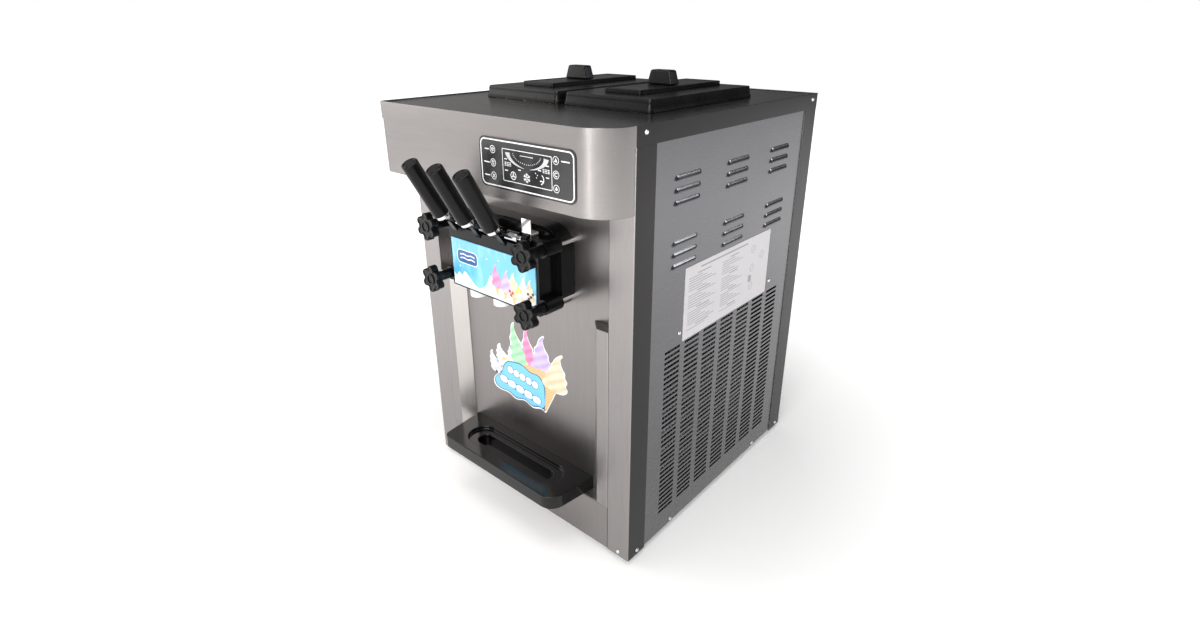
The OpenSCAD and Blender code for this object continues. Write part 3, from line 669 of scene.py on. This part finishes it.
def drawGrip(name, x):
    low, high = localBox("grip_" + name)
    tilt = math.radians(gripShape["tilt"])
    radius = gripShape["radius"]
    length = min((high.z - low.z - radius * math.sin(tilt) * 2) / math.cos(tilt),
                 (high.y - low.y - radius * math.cos(tilt) * 2) / math.sin(tilt))
    foot = Vector((x, high.y - radius * math.cos(tilt), low.z + radius * math.sin(tilt)))
    grip = rod("grip" + name.capitalize(), radius, length)
    pickFaces(grip, lambda c, n: n.z > 0.9)
    inset(3.4)
    inset(gripShape["groove"], -gripShape["groove"])
    inset(gripShape["groove"], gripShape["groove"])
    pickFaces(grip, lambda c, n: n.z < -0.9)
    inset(radius - 5.2)
    pull((0, 0, 20))
    rim = lambda a, b: a.z == b.z and math.hypot(a.x, a.y) > radius / 1000 - 0.0002
    pickEdges(grip, lambda a, b: rim(a, b) and a.z > length / 2000)
    bevel(gripShape["cap"], 5)
    pickEdges(grip, lambda a, b: rim(a, b) and a.z < length / 2000)
    bevel(1.0, 3)
    bpy.ops.object.mode_set(mode="OBJECT")
    grip.location = at(*foot)
    grip.rotation_euler = (tilt, 0, 0)
    settle(grip)
    return finishPiece(grip, "gripBlack", "handle_" + name, "grip_" + name)


for name, x in gripShape["places"].items():
    drawGrip(name, x)
    lever = copyOf("lever_" + name, "lever" + name.capitalize())
    softEdges(lever, 0.8, 2)
    finishPiece(lever, "chrome", "handle_" + name, "lever_" + name)
print("handles modelled")


# star knobs

starShape = {"core": 18.2, "lobeAt": 17.6, "lobe": 7.4, "sides": 96, "thick": 14, "neck": 9}


def starRadius(angle):
    # Outline of the knob: the core circle, or the lobe where that reaches further out.
    lobe = starShape["lobe"] ** 2 - (starShape["lobeAt"] * math.sin(angle)) ** 2
    if lobe < 0:
        return starShape["core"]
    return max(starShape["core"], starShape["lobeAt"] * math.cos(angle) + math.sqrt(lobe))


def starKnob(level, side):
    node = "star_knob_%s_%s" % (level, side)
    low, high = localBox(node)
    full = starShape["lobeAt"] + starShape["lobe"]
    knob = rod(node, full, starShape["thick"], starShape["sides"])
    step = 2 * math.pi / starShape["sides"]
    for k in range(9):
        # every ring of vertices the same angle away from its lobe is drawn in together
        pickEdges(knob, lambda a, b: False)
        bpy.ops.mesh.select_mode(type="VERT")
        mesh = bmesh.from_edit_mesh(knob.data)
        for vert in mesh.verts:
            turn = math.atan2(vert.co.x, vert.co.y) % (math.pi / 3)
            away = min(turn, math.pi / 3 - turn)
            vert.select_set(abs(away - k * step) < step / 3)
        mesh.select_flush_mode()
        bmesh.update_edit_mesh(knob.data)
        factor = starRadius(k * step) / full
        swell((factor, factor, 1), (0, 0, 0))
    thick = starShape["thick"]
    pickFaces(knob, lambda c, n: n.z > 0.9)
    inset(2.6)
    inset(2.2, -1.2)
    pickEdges(knob, lambda a, b: near(a.z, thick / 1000, 0.00001) and near(b.z, a.z, 0.00001))
    bevel(1.7, 4)
    pickEdges(knob, lambda a, b: abs(a.z) < 0.00001 and abs(b.z) < 0.00001)
    bevel(1.4, 3)
    bpy.ops.object.mode_set(mode="OBJECT")
    hub = rod("hub", 10.2, thick + 0.6, 48)
    pickFaces(hub, lambda c, n: n.z > 0.9)
    inset(2.4)
    pull((0, 0, -3.6))
    bpy.ops.object.mode_set(mode="OBJECT")
    neck = rod("neck", starShape["neck"], high.y - low.y - thick + 1, 48)
    pickFaces(neck, lambda c, n: n.z > 0.9)
    inset(4.7)
    pull((0, 0, -(high.y - low.y - thick - 4)))
    bpy.ops.object.mode_set(mode="OBJECT")
    neck.location.z = -(high.y - low.y - thick) / 1000
    neck.rotation_euler.x = math.pi
    neck.location.z = 0.001
    settle(neck)
    softEdges(hub, 0.7, 3)
    softEdges(neck, 0.5, 2)
    whole = join(node.replace("_", "."), [knob, hub, neck])
    whole.location = at((low.x + high.x) / 2, low.y + thick, (low.z + high.z) / 2)
    whole.rotation_euler = (math.radians(90), 0, 0)
    settle(whole)
    return finishPiece(whole, "knobBlack", "knob_%s_%s" % (level, side), node)


for level in ("upper", "lower"):
    for side in ("left", "right"):
        starKnob(level, side)
print("star knobs modelled")


# dispensing head and tray

softened = {
    # node: piece name, finish, edge width, steps
    "head_flange": ("headFlange", "headBlack", 2.0, 3),
    "valve_block": ("valveBlock", "headBlack", 1.0, 2),
    "switch_bracket": ("switchBracket", "chrome", 0.4, 2),
    "nozzles": ("outletCaps", "outletWhite", 0.7, 2),
    "rubber_feet": ("rubberFeet", "footRubber", 1.5, 3),
    "head_studs": ("headStuds", "chrome", 0.8, 2),
    "cabinet_screws": ("cabinetScrews", "chrome", 0.4, 2),
    "bottom_fascia": ("bottomFascia", "cabinetSteel", 0.4, 1),
}

for node, (pieceName, finish, width, steps) in softened.items():
    piece = softEdges(copyOf(node, pieceName), width, steps)
    finishPiece(piece, finish, frame["nodes"][node]["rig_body"], node)


def dripTray():
    tray = copyOf("drip_tray", "dripTray")
    low, high = localBox("drip_tray")

    def rounded(a, b):
        a, b = local(a), local(b)
        top = near(a.z, high.z) and near(b.z, high.z)
        ledge = near(a.z, high.z - 7) and near(b.z, high.z - 7)
        return (top or ledge) and min(a.y, b.y) < 23
    pickEdges(tray, rounded)
    bevel(1.9, 4, True)
    return finishPiece(tray, "trayBlack", "tray", "drip_tray", angle=40)


dripTray()
print("head and tray")

# the nodes whose CAD shape stays

plainNodes = {
    "back_panel": "shadedSideSteel", "front_panel": "cabinetSteel",
    "control_overlay": "filmBlack", "side_label": "labelPaper", "decal_plate": "plateSky",
    "pivot_pin": "chrome", "plunger_left": "hopperSteelAndHighlight", "plunger_middle": "hopperSteelAndHighlight",
    "plunger_right": "hopperSteelAndHighlight", "hopper_left": "hopperSteelAndHighlight", "hopper_right": "hopperSteelAndHighlight",
    "feed_tubes": "hopperSteelAndHighlight", "freezing_cylinder_left": "hopperSteelAndHighlight",
    "freezing_cylinder_right": "hopperSteelAndHighlight", "beater_left": "outletWhite", "beater_right": "outletWhite",
    "gearbox": "castAluminium", "driven_pulley": "castIron", "belt": "beltRubber",
    "drive_motor": "motorPaint", "motor_pulley": "castIron", "compressor": "blackPaint",
    "condenser": "finAluminium", "fan_motor": "motorPaint", "fan_blades": "blackPaint",
}

for node, finish in plainNodes.items():
    piece = frame["nodes"][node]
    for index in range(len(piece.material_slots)):
        piece.material_slots[index].material = finishes[finish]
print("CAD nodes given finishes")


# printed graphics: flat curves made into thin sheets of ink

def circlePoints(x, z, radius, count=10):
    return [(x + radius * math.cos(2 * math.pi * k / count), z + radius * math.sin(2 * math.pi * k / count))
            for k in range(count)]


def barPoints(x0, z0, x1, z1, width):
    length = math.hypot(x1 - x0, z1 - z0)
    u, v = (x1 - x0) / length * width / 2, (z1 - z0) / length * width / 2
    return [(x0 + v, z0 - u), (x1 + v, z1 - u), (x1 - v, z1 + u), (x0 - v, z0 + u)]


def roundedBox(x0, z0, x1, z1, r, steps=5):
    points = []
    for cx, cz, start in ((x1 - r, z1 - r, 0), (x0 + r, z1 - r, 90), (x0 + r, z0 + r, 180), (x1 - r, z0 + r, 270)):
        for k in range(steps + 1):
            turn = math.radians(start + 90 * k / steps)
            points.append((cx + r * math.cos(turn), cz + r * math.sin(turn)))
    return points


def arcBand(x, z, inner, outer, start, end, count=14):
    # A band between two arcs, in degrees.
    turns = [math.radians(start + (end - start) * k / count) for k in range(count + 1)]
    return ([(x + outer * math.cos(t), z + outer * math.sin(t)) for t in turns]
            + [(x + inner * math.cos(t), z + inner * math.sin(t)) for t in reversed(turns)])


def printLayer(name, outlines, face, depth, finish, body="cabinet", plane="front", curved=()):
    # outlines: lists of points in cabinet millimetres on the plane; curved ones get smooth handles
    data = bpy.data.curves.new(name, "CURVE")
    data.dimensions = "2D"
    data.fill_mode = "BOTH"
    data.extrude = depth / 2000
    data.resolution_u = 5
    for points, handle in [(o, "VECTOR") for o in outlines] + [(o, "AUTO") for o in curved]:
        spline = data.splines.new("BEZIER")
        spline.bezier_points.add(len(points) - 1)
        for knot, (u, v) in zip(spline.bezier_points, points):
            knot.co = (u / 1000, v / 1000, 0)
            knot.handle_left_type = knot.handle_right_type = handle
        spline.use_cyclic_u = True
    sheet = bpy.data.objects.new(name, data)
    scene.collection.objects.link(sheet)
    if plane == "front":
        sheet.location = at(0, face + depth / 2, 0)
        sheet.rotation_euler = (math.radians(90), 0, 0)
    else:
        sheet.location = at(face - depth / 2, 0, 0)
        sheet.rotation_euler = (math.radians(90), 0, math.radians(90))
    activate(sheet)
    bpy.ops.object.convert(target="MESH")
    sheet = bpy.context.object
    settle(sheet)
    paint(sheet, finish)
    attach(sheet, body)
    return sheet


# control panel
panelPrint = {"edge": 3.0, "line": 2.0, "corner": 10, "ink": 0.12, "display": (59, 680, 165.5, 730)}
overlayLow, overlayHigh = localBox("control_overlay")
filmFace = overlayLow.y - panelPrint["ink"]


def controlPrint():
    e, line = panelPrint["edge"], panelPrint["line"]
    x0, z0, x1, z1 = overlayLow.x + e, overlayLow.z + e, overlayHigh.x - e, overlayHigh.z - e
    white = [roundedBox(x0, z0, x1, z1, panelPrint["corner"]),
             roundedBox(x0 + line, z0 + line, x1 - line, z1 - line, panelPrint["corner"] - line)]
    dx0, dz0, dx1, dz1 = panelPrint["display"]
    white += [roundedBox(dx0, dz0, dx1, dz1, 2.0), roundedBox(dx0 + 1, dz0 + 1, dx1 - 1, dz1 - 1, 1.2)]
    for k, length in ((1, 10), (0, 13), (-1, 13)):      # short dashes beside the left keys
        z = overlayMid + k * keyStep - 0.6
        white.append(roundedBox(28.5 - length, z - 0.9, 28.5, z + 0.9, 0.8, 2))
    white.append(roundedBox(184.5, overlayMid + keyStep - 0.7, 201, overlayMid + keyStep + 1.1, 0.8, 2))
    printLayer("panelLines", white, filmFace, panelPrint["ink"], "inkWhite")

    midX, top = (dx0 + dx1) / 2 + 0.6, dz1 - 3.5
    silver = []
    for sign in (-1, 1):                                # two horns of the smile-shaped gauge
        horn = []
        for k in range(13):
            t = math.radians(6 + 76 * k / 12)
            horn.append((midX + sign * 47 * math.cos(t), top - 22.5 * math.sin(t)))
        for k in range(13):
            t = math.radians(82 - 76 * k / 12)
            thin = 10.5 * (1 - k / 12)
            horn.append((midX + sign * (36.5 + thin) * math.cos(t), top - (14.5 + thin * 0.72) * math.sin(t)))
        silver.append(horn if sign > 0 else horn[::-1])
    ticks = []
    for k in range(19):                                 # ticks along the gauge
        t = math.radians(10 + 160 * k / 18)
        x, z = midX + 31 * math.cos(t), top - 16.2 * math.sin(t)
        ticks.append(barPoints(x, z, x - 1.7 * math.cos(t), z + 1.7 * math.sin(t), 0.8))
    ticks.append(barPoints(midX - 14, top - 3.6, midX + 14, top - 3.6, 0.8))
    for x, z, count in ((dx0 + 5, dz0 + 24.5, 3), (dx1 - 19, dz0 + 24.5, 3)):
        for c in range(count):                          # plain level bars in place of figures
            for r in range(3):
                ticks.append(barPoints(x + c * 5.2, z + r * 2.3, x + c * 5.2 + 3.8, z + r * 2.3, 1.1))
    for x, z, length in ((64, 714.4, 6), (64, 697, 6.5), (94, 701, 5.5), (152.5, 715, 7), (137, 706.2, 6.5),
                         (153, 697.6, 6.5)):
        ticks.append(barPoints(x, z, x + length, z, 1.5))
    printLayer("gaugeHorns", silver, filmFace, panelPrint["ink"], "inkSilver")

    fanX, fanZ = 82.5, 690.5
    icons = [circlePoints(fanX, fanZ, 6.4, 20), circlePoints(fanX, fanZ, 5.3, 20)]
    for k in range(3):                                  # three fan blades
        t = math.radians(90 + 120 * k)
        icons.append(barPoints(fanX + 0.3 * math.cos(t), fanZ + 0.3 * math.sin(t),
                               fanX + 4.4 * math.cos(t), fanZ + 4.4 * math.sin(t), 1.7))
    snowX, snowZ = 112.3, 691
    for k in range(6):                                  # snow crystal
        t = math.radians(30 + 60 * k)
        icons.append(barPoints(snowX + 1.2 * math.cos(t), snowZ + 1.2 * math.sin(t),
                               snowX + 7.4 * math.cos(t), snowZ + 7.4 * math.sin(t), 1.2))
        for bend in (-38, 38):
            s = t + math.radians(bend)
            px, pz = snowX + 3.6 * math.cos(t), snowZ + 3.6 * math.sin(t)
            icons.append(barPoints(px + 0.9 * math.cos(s), pz + 0.9 * math.sin(s),
                                   px + 3.4 * math.cos(s), pz + 3.4 * math.sin(s), 0.9))
    icons.append(arcBand(141, 693.2, 6.4, 8.0, -78, 62))   # moon and falling drops
    icons.append(arcBand(143.2, 688.6, 2.1, 3.4, -60, 160, 8))
    for x, z in ((131.5, 701), (135.2, 698.5), (133.2, 694.6)):
        icons.append(circlePoints(x, z, 0.9, 8))
    printLayer("panelIcons", ticks + icons, filmFace, panelPrint["ink"], "inkWhite")


overlayMid = (localBox("key_left_middle")[0].z + localBox("key_left_middle")[1].z) / 2
keyStep = localBox("key_left_top")[0].z - localBox("key_left_middle")[0].z
controlPrint()

keyPrint = {"ring": 6.1, "line": 0.9, "thick": 0.1}


def keyIcon(kind, x, z):
    if kind == "star":                                  # six short rays
        return [barPoints(x + math.cos(a), z + math.sin(a), x + 3.6 * math.cos(a), z + 3.6 * math.sin(a), 1.1)
                for a in (math.radians(30 + 60 * k) for k in range(6))]
    if kind == "cup":
        return [[(x - 2.4, z + 3), (x + 2.4, z + 3), (x + 1.8, z - 3), (x - 1.8, z - 3)],
                [(x - 1.3, z + 1.8), (x + 1.3, z + 1.8), (x + 1.0, z - 2), (x - 1.0, z - 2)]]
    if kind == "cross":
        return [barPoints(x - 2.7, z - 2.7, x + 2.7, z + 2.7, 1.2),
                barPoints(x - 2.7, z + 2.7, x - 0.7, z + 0.7, 1.2),
                barPoints(x + 0.7, z - 0.7, x + 2.7, z - 2.7, 1.2)]
    if kind == "up":
        return [[(x - 3, z - 2.4), (x + 3, z - 2.4), (x, z + 3.4)]]
    if kind == "turn":
        return [arcBand(x, z, 2.2, 3.4, 40, 320), [(x + 1.2, z + 3.6), (x + 4.1, z + 2.9), (x + 2.3, z + 0.7)]]
    return [[(x, z + 3.6), (x + 2.3, z - 0.6), (x + 1.4, z - 2.6), (x - 1.4, z - 2.6), (x - 2.3, z - 0.6)]]


for node, kind in {"key_left_top": "star", "key_left_middle": "cup", "key_left_bottom": "cross",
                   "key_right_top": "up", "key_right_middle": "turn", "key_right_bottom": "drop"}.items():
    low, high = localBox(node)
    radius = (high.x - low.x) / 2
    x, z = (low.x + high.x) / 2, (low.z + high.z) / 2
    cap = rod(node.replace("_", "."), radius, high.y - low.y, 48)
    pickFaces(cap, lambda c, n: n.z > 0.9)
    inset(0.9)
    bpy.ops.object.mode_set(mode="OBJECT")
    softEdges(cap, 0.25, 2)
    cap.rotation_euler = (math.radians(90), 0, 0)
    cap.location = at(x, high.y, z)
    settle(cap)
    finishPiece(cap, "filmBlack", node, node)
    ring = [circlePoints(x, z, keyPrint["ring"], 24), circlePoints(x, z, keyPrint["ring"] - keyPrint["line"], 24)]
    printLayer(node.replace("_", ".") + ".print", ring + keyIcon(kind, x, z), low.y - keyPrint["thick"],
               keyPrint["thick"], "inkWhite", body=node)
print("control panel printed")


# ice cream pictures on the sticker and the head plate

def swirlOutline(x, z, wide, high, lean=0.0, grow=0.0):
    # Piped soft serve: three folds that narrow to a curled tip. x, z is the middle of its foot.
    folds = [(-0.50, 0.00), (-0.54, 0.14), (-0.42, 0.24), (-0.46, 0.36), (-0.33, 0.47), (-0.34, 0.58),
             (-0.20, 0.70), (-0.14, 0.82), (-0.02, 0.94), (0.16, 1.00), (0.10, 0.90), (0.12, 0.78),
              (0.22, 0.64), (0.34, 0.55), (0.36, 0.44), (0.48, 0.34), (0.45, 0.22),
             (0.55, 0.12), (0.48, 0.00), (0.30, -0.06), (-0.30, -0.06)]
    cx, cz = x + lean * high * 0.45, z + high * 0.45
    points = []
    for u, v in folds:
        px, pz = x + u * wide + lean * v * high, z + v * high
        away = math.hypot(px - cx, pz - cz)
        points.append((px + (px - cx) / away * grow, pz + (pz - cz) / away * grow))
    return points


def coneOutline(x, z, wide, long, tilt=0.0, grow=0.0):
    # A pointed cone below (x, z), its tip moved sideways by the tilt.
    tipX, tipZ = x + tilt * long, z - long
    return [(x - wide / 2 - grow, z + grow), (tipX - 1.6 - grow, tipZ), (tipX, tipZ - grow),
            (tipX + 1.6 + grow, tipZ), (x + wide / 2 + grow, z + grow)]


stickerPrint = {
    "layer": 0.1, "border": 2.6,
    # cream finish: foot x, foot z, width, height, lean
    "swirls": [("milkCream", -92, 252, 30, 40, -0.42), ("milkCream", -66, 272, 40, 42, -0.45),
               ("milkCream", -38, 284, 32, 38, -0.30), ("mintCream", -22, 290, 42, 84, -0.24),
               ("pinkCream", 5, 290, 38, 84, -0.12), ("lilacCream", 36, 294, 50, 76, 0.02),
               ("vanillaCream", 68, 272, 58, 74, 0.20)],
    "band": [(-99, 236), (-103, 226), (-99, 217), (-86, 213), (-60, 214), (-40, 208), (-14, 214), (8, 208),
             (28, 214), (39, 214), (45, 246), (42, 270), (30, 283), (4, 284), (-14, 291), (-44, 289), (-62, 283),
             (-74, 268), (-80, 254)],
}


def frontSticker():
    # layers from the panel outwards: white border, blue band, cones, swirls, toppings
    panelY = localBox("front_sticker")[1].y
    step = stickerPrint["layer"]
    face = lambda level: panelY - step * level
    border, band = stickerPrint["border"], stickerPrint["band"]
    whites = [swirlOutline(x, z, w, h, lean, border) for _, x, z, w, h, lean in stickerPrint["swirls"]]
    middle = (-30, 250)
    grown = [(u + (u - middle[0]) * 0.045, v + (v - middle[1]) * 0.07) for u, v in band]
    first = None
    for index, outline in enumerate(whites):
        sheet = printLayer("stickerEdge%d" % index, [], face(1), step, "inkWhite", curved=[outline])
        first = first or sheet
        if sheet is not first:
            join("stickerEdge", [first, sheet])
    for extra, curved in ((coneOutline(62, 276, 34, 66, -0.30, 2.0), False), (grown, True)):
        sheet = printLayer("stickerMore", [] if curved else [extra], face(1), step, "inkWhite",
                           curved=[extra] if curved else [])
        join("stickerEdge", [first, sheet])
    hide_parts("front_sticker")
    order = list(stickerPrint["swirls"])
    for index, (finish, x, z, w, h, lean) in enumerate(order[:-1]):
        printLayer("stickerSwirl%d" % index, [], face(1.4 + 0.2 * (index % 2)), step, finish,
                   curved=[swirlOutline(x, z, w, h, lean)])
    printLayer("stickerWaferBack", [[(-12, 296), (46, 300), (50, 262), (-6, 276)]], face(1.8), step, "wafer")
    printLayer("stickerBandEdge", [], face(2.0), step, "inkNavy", curved=[band])
    inner = [(u - (u - middle[0]) * 0.035, v - (v - middle[1]) * 0.055) for u, v in band]
    printLayer("stickerBand", [], face(2.2), step, "inkBlue", curved=[inner])
    waves = []                                          # wavy stripes where lettering would be
    for row, (x0, x1, z0, slope) in enumerate(((-62, 26, 268, -0.10), (-86, 32, 240, -0.12))):
        for k in range(5):
            a = x0 + (x1 - x0) * k / 5 + 2
            wide = (x1 - x0) / 5 - 5
            z = z0 + slope * (a - x0)
            waves.append([(a, z - 6), (a + wide * 0.5, z - 8.5), (a + wide, z - 6.5), (a + wide + 1, z + 4),
                          (a + wide * 0.5, z + 7), (a + 0.5, z + 4.5)])
    printLayer("stickerDropEdge", [], face(2.4), step, "inkNavy",
               curved=[[(u + (u - sum(p[0] for p in w) / 6) * 0.16, v + (v - sum(p[1] for p in w) / 6) * 0.16)
                        for u, v in w] for w in waves])
    printLayer("stickerDrops", [], face(2.6), step, "inkWhite", curved=waves)
    printLayer("stickerWafer", [coneOutline(62, 274, 30, 62, -0.30)], face(2.7), step, "wafer")
    finish, x, z, w, h, lean = order[-1]
    printLayer("stickerVanilla", [], face(2.9), step, finish, curved=[swirlOutline(x, z, w, h, lean)])
    fruit = [circlePoints(-66 + 9 * math.cos(a), 281 + 5 * math.sin(a), 4.6, 8) for a in (0.3, 2.0, 3.6, 5.0)]
    printLayer("stickerFruit", [], face(1.9), step, "inkYellow", curved=fruit)
    cookies = [[(x, z), (x + 6, z + 1.5), (x + 7, z - 4), (x + 1, z - 5)]
               for x, z in ((-99, 250), (-90, 245), (-84, 254))]
    printLayer("stickerCookies", cookies, face(1.9), step, "inkCocoa")


frontSticker()
print("front sticker printed")

platePrint = {
    "layer": 0.1,
    "splash": [(-107, 484), (-100, 480), (-92, 488), (-84, 483), (-76, 492), (-66, 486), (-57, 478), (-44, 470),
               (-28, 472), (-16, 482), (-10, 494), (-3, 502), (4, 494), (14, 500), (26, 492), (40, 498),
               (54, 492), (68, 500), (82, 493), (95, 500), (107, 494)],
    "swirls": [("pinkCream", 12, 486, 25, 40, -0.1), ("lilacCream", 33, 484, 26, 38, 0.1),
               ("vanillaCream", 55, 481, 30, 41, -0.05), ("milkCream", 76, 484, 24, 37, 0.1),
               ("vanillaCream", 93, 483, 22, 36, 0.0)],
    "badge": (-94, 507, -37, 533),
}


def flowing(points, steps=4):
    # A smooth open line through the points, sampled between each pair.
    line = []
    padded = [points[0]] + points + [points[-1]]
    for a, b, c, d in zip(padded, padded[1:], padded[2:], padded[3:]):
        for k in range(steps):
            t = k / steps
            line.append(tuple(0.5 * (2 * q + (r - p) * t + (2 * p - 5 * q + 4 * r - s) * t ** 2
                                     + (3 * q - p - 3 * r + s) * t ** 3) for p, q, r, s in zip(a, b, c, d)))
    return line + [points[-1]]


def headPlate():
    low, high = localBox("decal_plate")
    front = low.y
    step = platePrint["layer"]
    face = lambda level: front - step * level
    crest = [(min(max(u, low.x + 0.5), high.x - 0.5), v) for u, v in flowing(platePrint["splash"])]
    foot = low.z + 0.5
    splash = crest + [(high.x - 0.5, foot), (low.x + 0.5, foot)]
    printLayer("plateSplash", [splash], face(1), step, "inkWhite")
    x0, z0, x1, z1 = platePrint["badge"]
    printLayer("plateBadgeEdge", [roundedBox(x0, z0, x1, z1, 9)], face(1), step, "inkWhite")
    printLayer("plateBadge", [roundedBox(x0 + 1.6, z0 + 1.6, x1 - 1.6, z1 - 1.6, 7.6)], face(2), step, "inkNavy")
    ripples = [flowing([(x0 + 9 + 10 * k, z + 1.8 * (k % 2)) for k in range(5)]) for z in (z0 + 8, z0 + 15)]
    printLayer("plateRipples", [line + [(u, v + 2.4) for u, v in reversed(line)] for line in ripples], face(3), step,
               "inkWhite")
    drops = [circlePoints(x, z, r, 9)
             for x, z, r in ((-88, 500, 1.6), (-66, 510, 1.9), (-12, 530, 1.6), (18, 534, 1.3))]
    printLayer("plateDrops", [], face(1), step, "inkWhite", curved=drops)
    for index, (finish, x, z, w, h, lean) in enumerate(platePrint["swirls"]):
        printLayer("plateWafer%d" % index, [coneOutline(x, z + 2, w * 0.62, 19, -0.05)],
                   face(1.5 + 0.3 * (index % 2)), step, "wafer")
        printLayer("plateSwirl%d" % index, [], face(2.2 + 0.3 * (index % 2)), step, finish,
                   curved=[swirlOutline(x, z, w, h, lean)])
    printLayer("plateFruit", [], face(3.2), step, "inkYellow",
               curved=[circlePoints(x, z, 3.4, 8) for x, z in ((66, 497), (71, 492), (63, 489))])
    printLayer("plateBerries", [], face(3.2), step, "inkRed",
               curved=[circlePoints(x, z, 3.0, 8) for x, z in ((44, 486), (51, 484), (47, 479))])
    printLayer("plateCookies", [[(x, z), (x + 5, z + 1.5), (x + 6, z - 3), (x + 1, z - 4)]
               for x, z in ((86, 494), (93, 490), (88, 486), (98, 496))], face(3.2), step, "inkCocoa")


headPlate()
print("head plate printed")


# side label

labelPrint = {"ink": 0.06, "row": 4.6, "bar": 1.3}


def sideLabel():
    low, high = localBox("side_label")
    wide = high.y - low.y
    face = high.x + labelPrint["ink"]
    bars = [barPoints(low.y + wide * 0.16, high.z - 9, low.y + wide * 0.70, high.z - 9, 3.0)]
    for column, (start, end) in enumerate(((0.04, 0.36), (0.40, 0.68))):
        for row in range(23):
            z = high.z - 18 - row * labelPrint["row"]
            if row % 7 == 0:                            # a short heading bar, then its lines
                bars.append(barPoints(low.y + wide * (start + 0.09), z, low.y + wide * (end - 0.09), z, 2.0))
                continue
            cut = 0.03 + 0.05 * ((row * 7 + column * 3) % 4)
            bars.append(barPoints(low.y + wide * start, z, low.y + wide * (end - cut), z, labelPrint["bar"]))
    for k in range(5):                                  # outline diagrams in the right column
        cy, cz = low.y + wide * (0.78 + 0.12 * (k % 2)), high.z - 26 - 19 * k
        if k == 3:
            continue
        bars += [circlePoints(cy, cz, 8, 16), circlePoints(cy, cz, 7, 16)]
        bars.append(barPoints(cy - 5, cz - 3, cy + 5, cz + 3, 0.9))
    bars.append(roundedBox(low.y + wide * 0.74, high.z - 92, low.y + wide * 0.74 + 12, high.z - 78, 0.5, 2))
    printLayer("labelInk", bars, face, labelPrint["ink"], "inkGrey", plane="side")


sideLabel()
print("side label printed")


# floor and surroundings

deselect()
bpy.ops.mesh.primitive_plane_add(size=16, location=(0, 0, 0))
floor = bpy.context.object
floor.name = "floor"
floorFinish = Finish("floorPale", Roughness=0.6, Emission_Strength=1.0)
floorFinish.feed("Base Color", floorFinish.blend(floorFinish.noise(floorFinish.coords, 2.0, 3.0),
                                                 (0.80, 0.80, 0.80), (0.84, 0.84, 0.84)))
# the floor glows, dim near the machine and white further out: a painted glow that whitens the far floor
reach = floorFinish.node("ShaderNodeVectorMath", {"operation": "LENGTH"}, output=1, i0=floorFinish.coords)
floorFinish.feed("Emission Color", floorFinish.blend(floorFinish.spread(reach, 0.45, 2.2),
                                                     (0.2, 0.2, 0.2), (1, 1, 1)))
floor.data.materials.append(floorFinish.material)

world = bpy.data.worlds.new("studio")
scene.world = world
world.use_nodes = True
sky = world.node_tree
for node in list(sky.nodes):
    sky.nodes.remove(node)
out = sky.nodes.new("ShaderNodeOutputWorld")
plain = sky.nodes.new("ShaderNodeBackground")
plain.inputs["Color"].default_value = (1, 1, 1, 1)
plain.inputs["Strength"].default_value = 1.0
room = sky.nodes.new("ShaderNodeBackground")
room.inputs["Strength"].default_value = 0.62
facing = sky.nodes.new("ShaderNodeTexCoord")
toward = sky.nodes.new("ShaderNodeVectorMath")
toward.operation = "DOT_PRODUCT"
toward.inputs[1].default_value = (-0.45, -0.85, 0.25)
ramp = sky.nodes.new("ShaderNodeValToRGB")
ramp.color_ramp.elements[0].position = 0.18
ramp.color_ramp.elements[0].color = (0.10, 0.105, 0.115, 1)
ramp.color_ramp.elements[1].position = 0.85
ramp.color_ramp.elements[1].color = (1.0, 0.98, 0.96, 1)
shift = sky.nodes.new("ShaderNodeMath")
shift.operation = "MULTIPLY_ADD"
shift.inputs[1].default_value = 0.5
shift.inputs[2].default_value = 0.5
rays = sky.nodes.new("ShaderNodeLightPath")
choose = sky.nodes.new("ShaderNodeMixShader")
sky.links.new(facing.outputs["Generated"], toward.inputs[0])
sky.links.new(toward.outputs["Value"], shift.inputs[0])
sky.links.new(shift.outputs[0], ramp.inputs[0])
sky.links.new(ramp.outputs["Color"], room.inputs["Color"])
sky.links.new(rays.outputs["Is Camera Ray"], choose.inputs[0])
sky.links.new(room.outputs[0], choose.inputs[1])
sky.links.new(plain.outputs[0], choose.inputs[2])
sky.links.new(choose.outputs[0], out.inputs["Surface"])
print("floor and surroundings")

deselect()
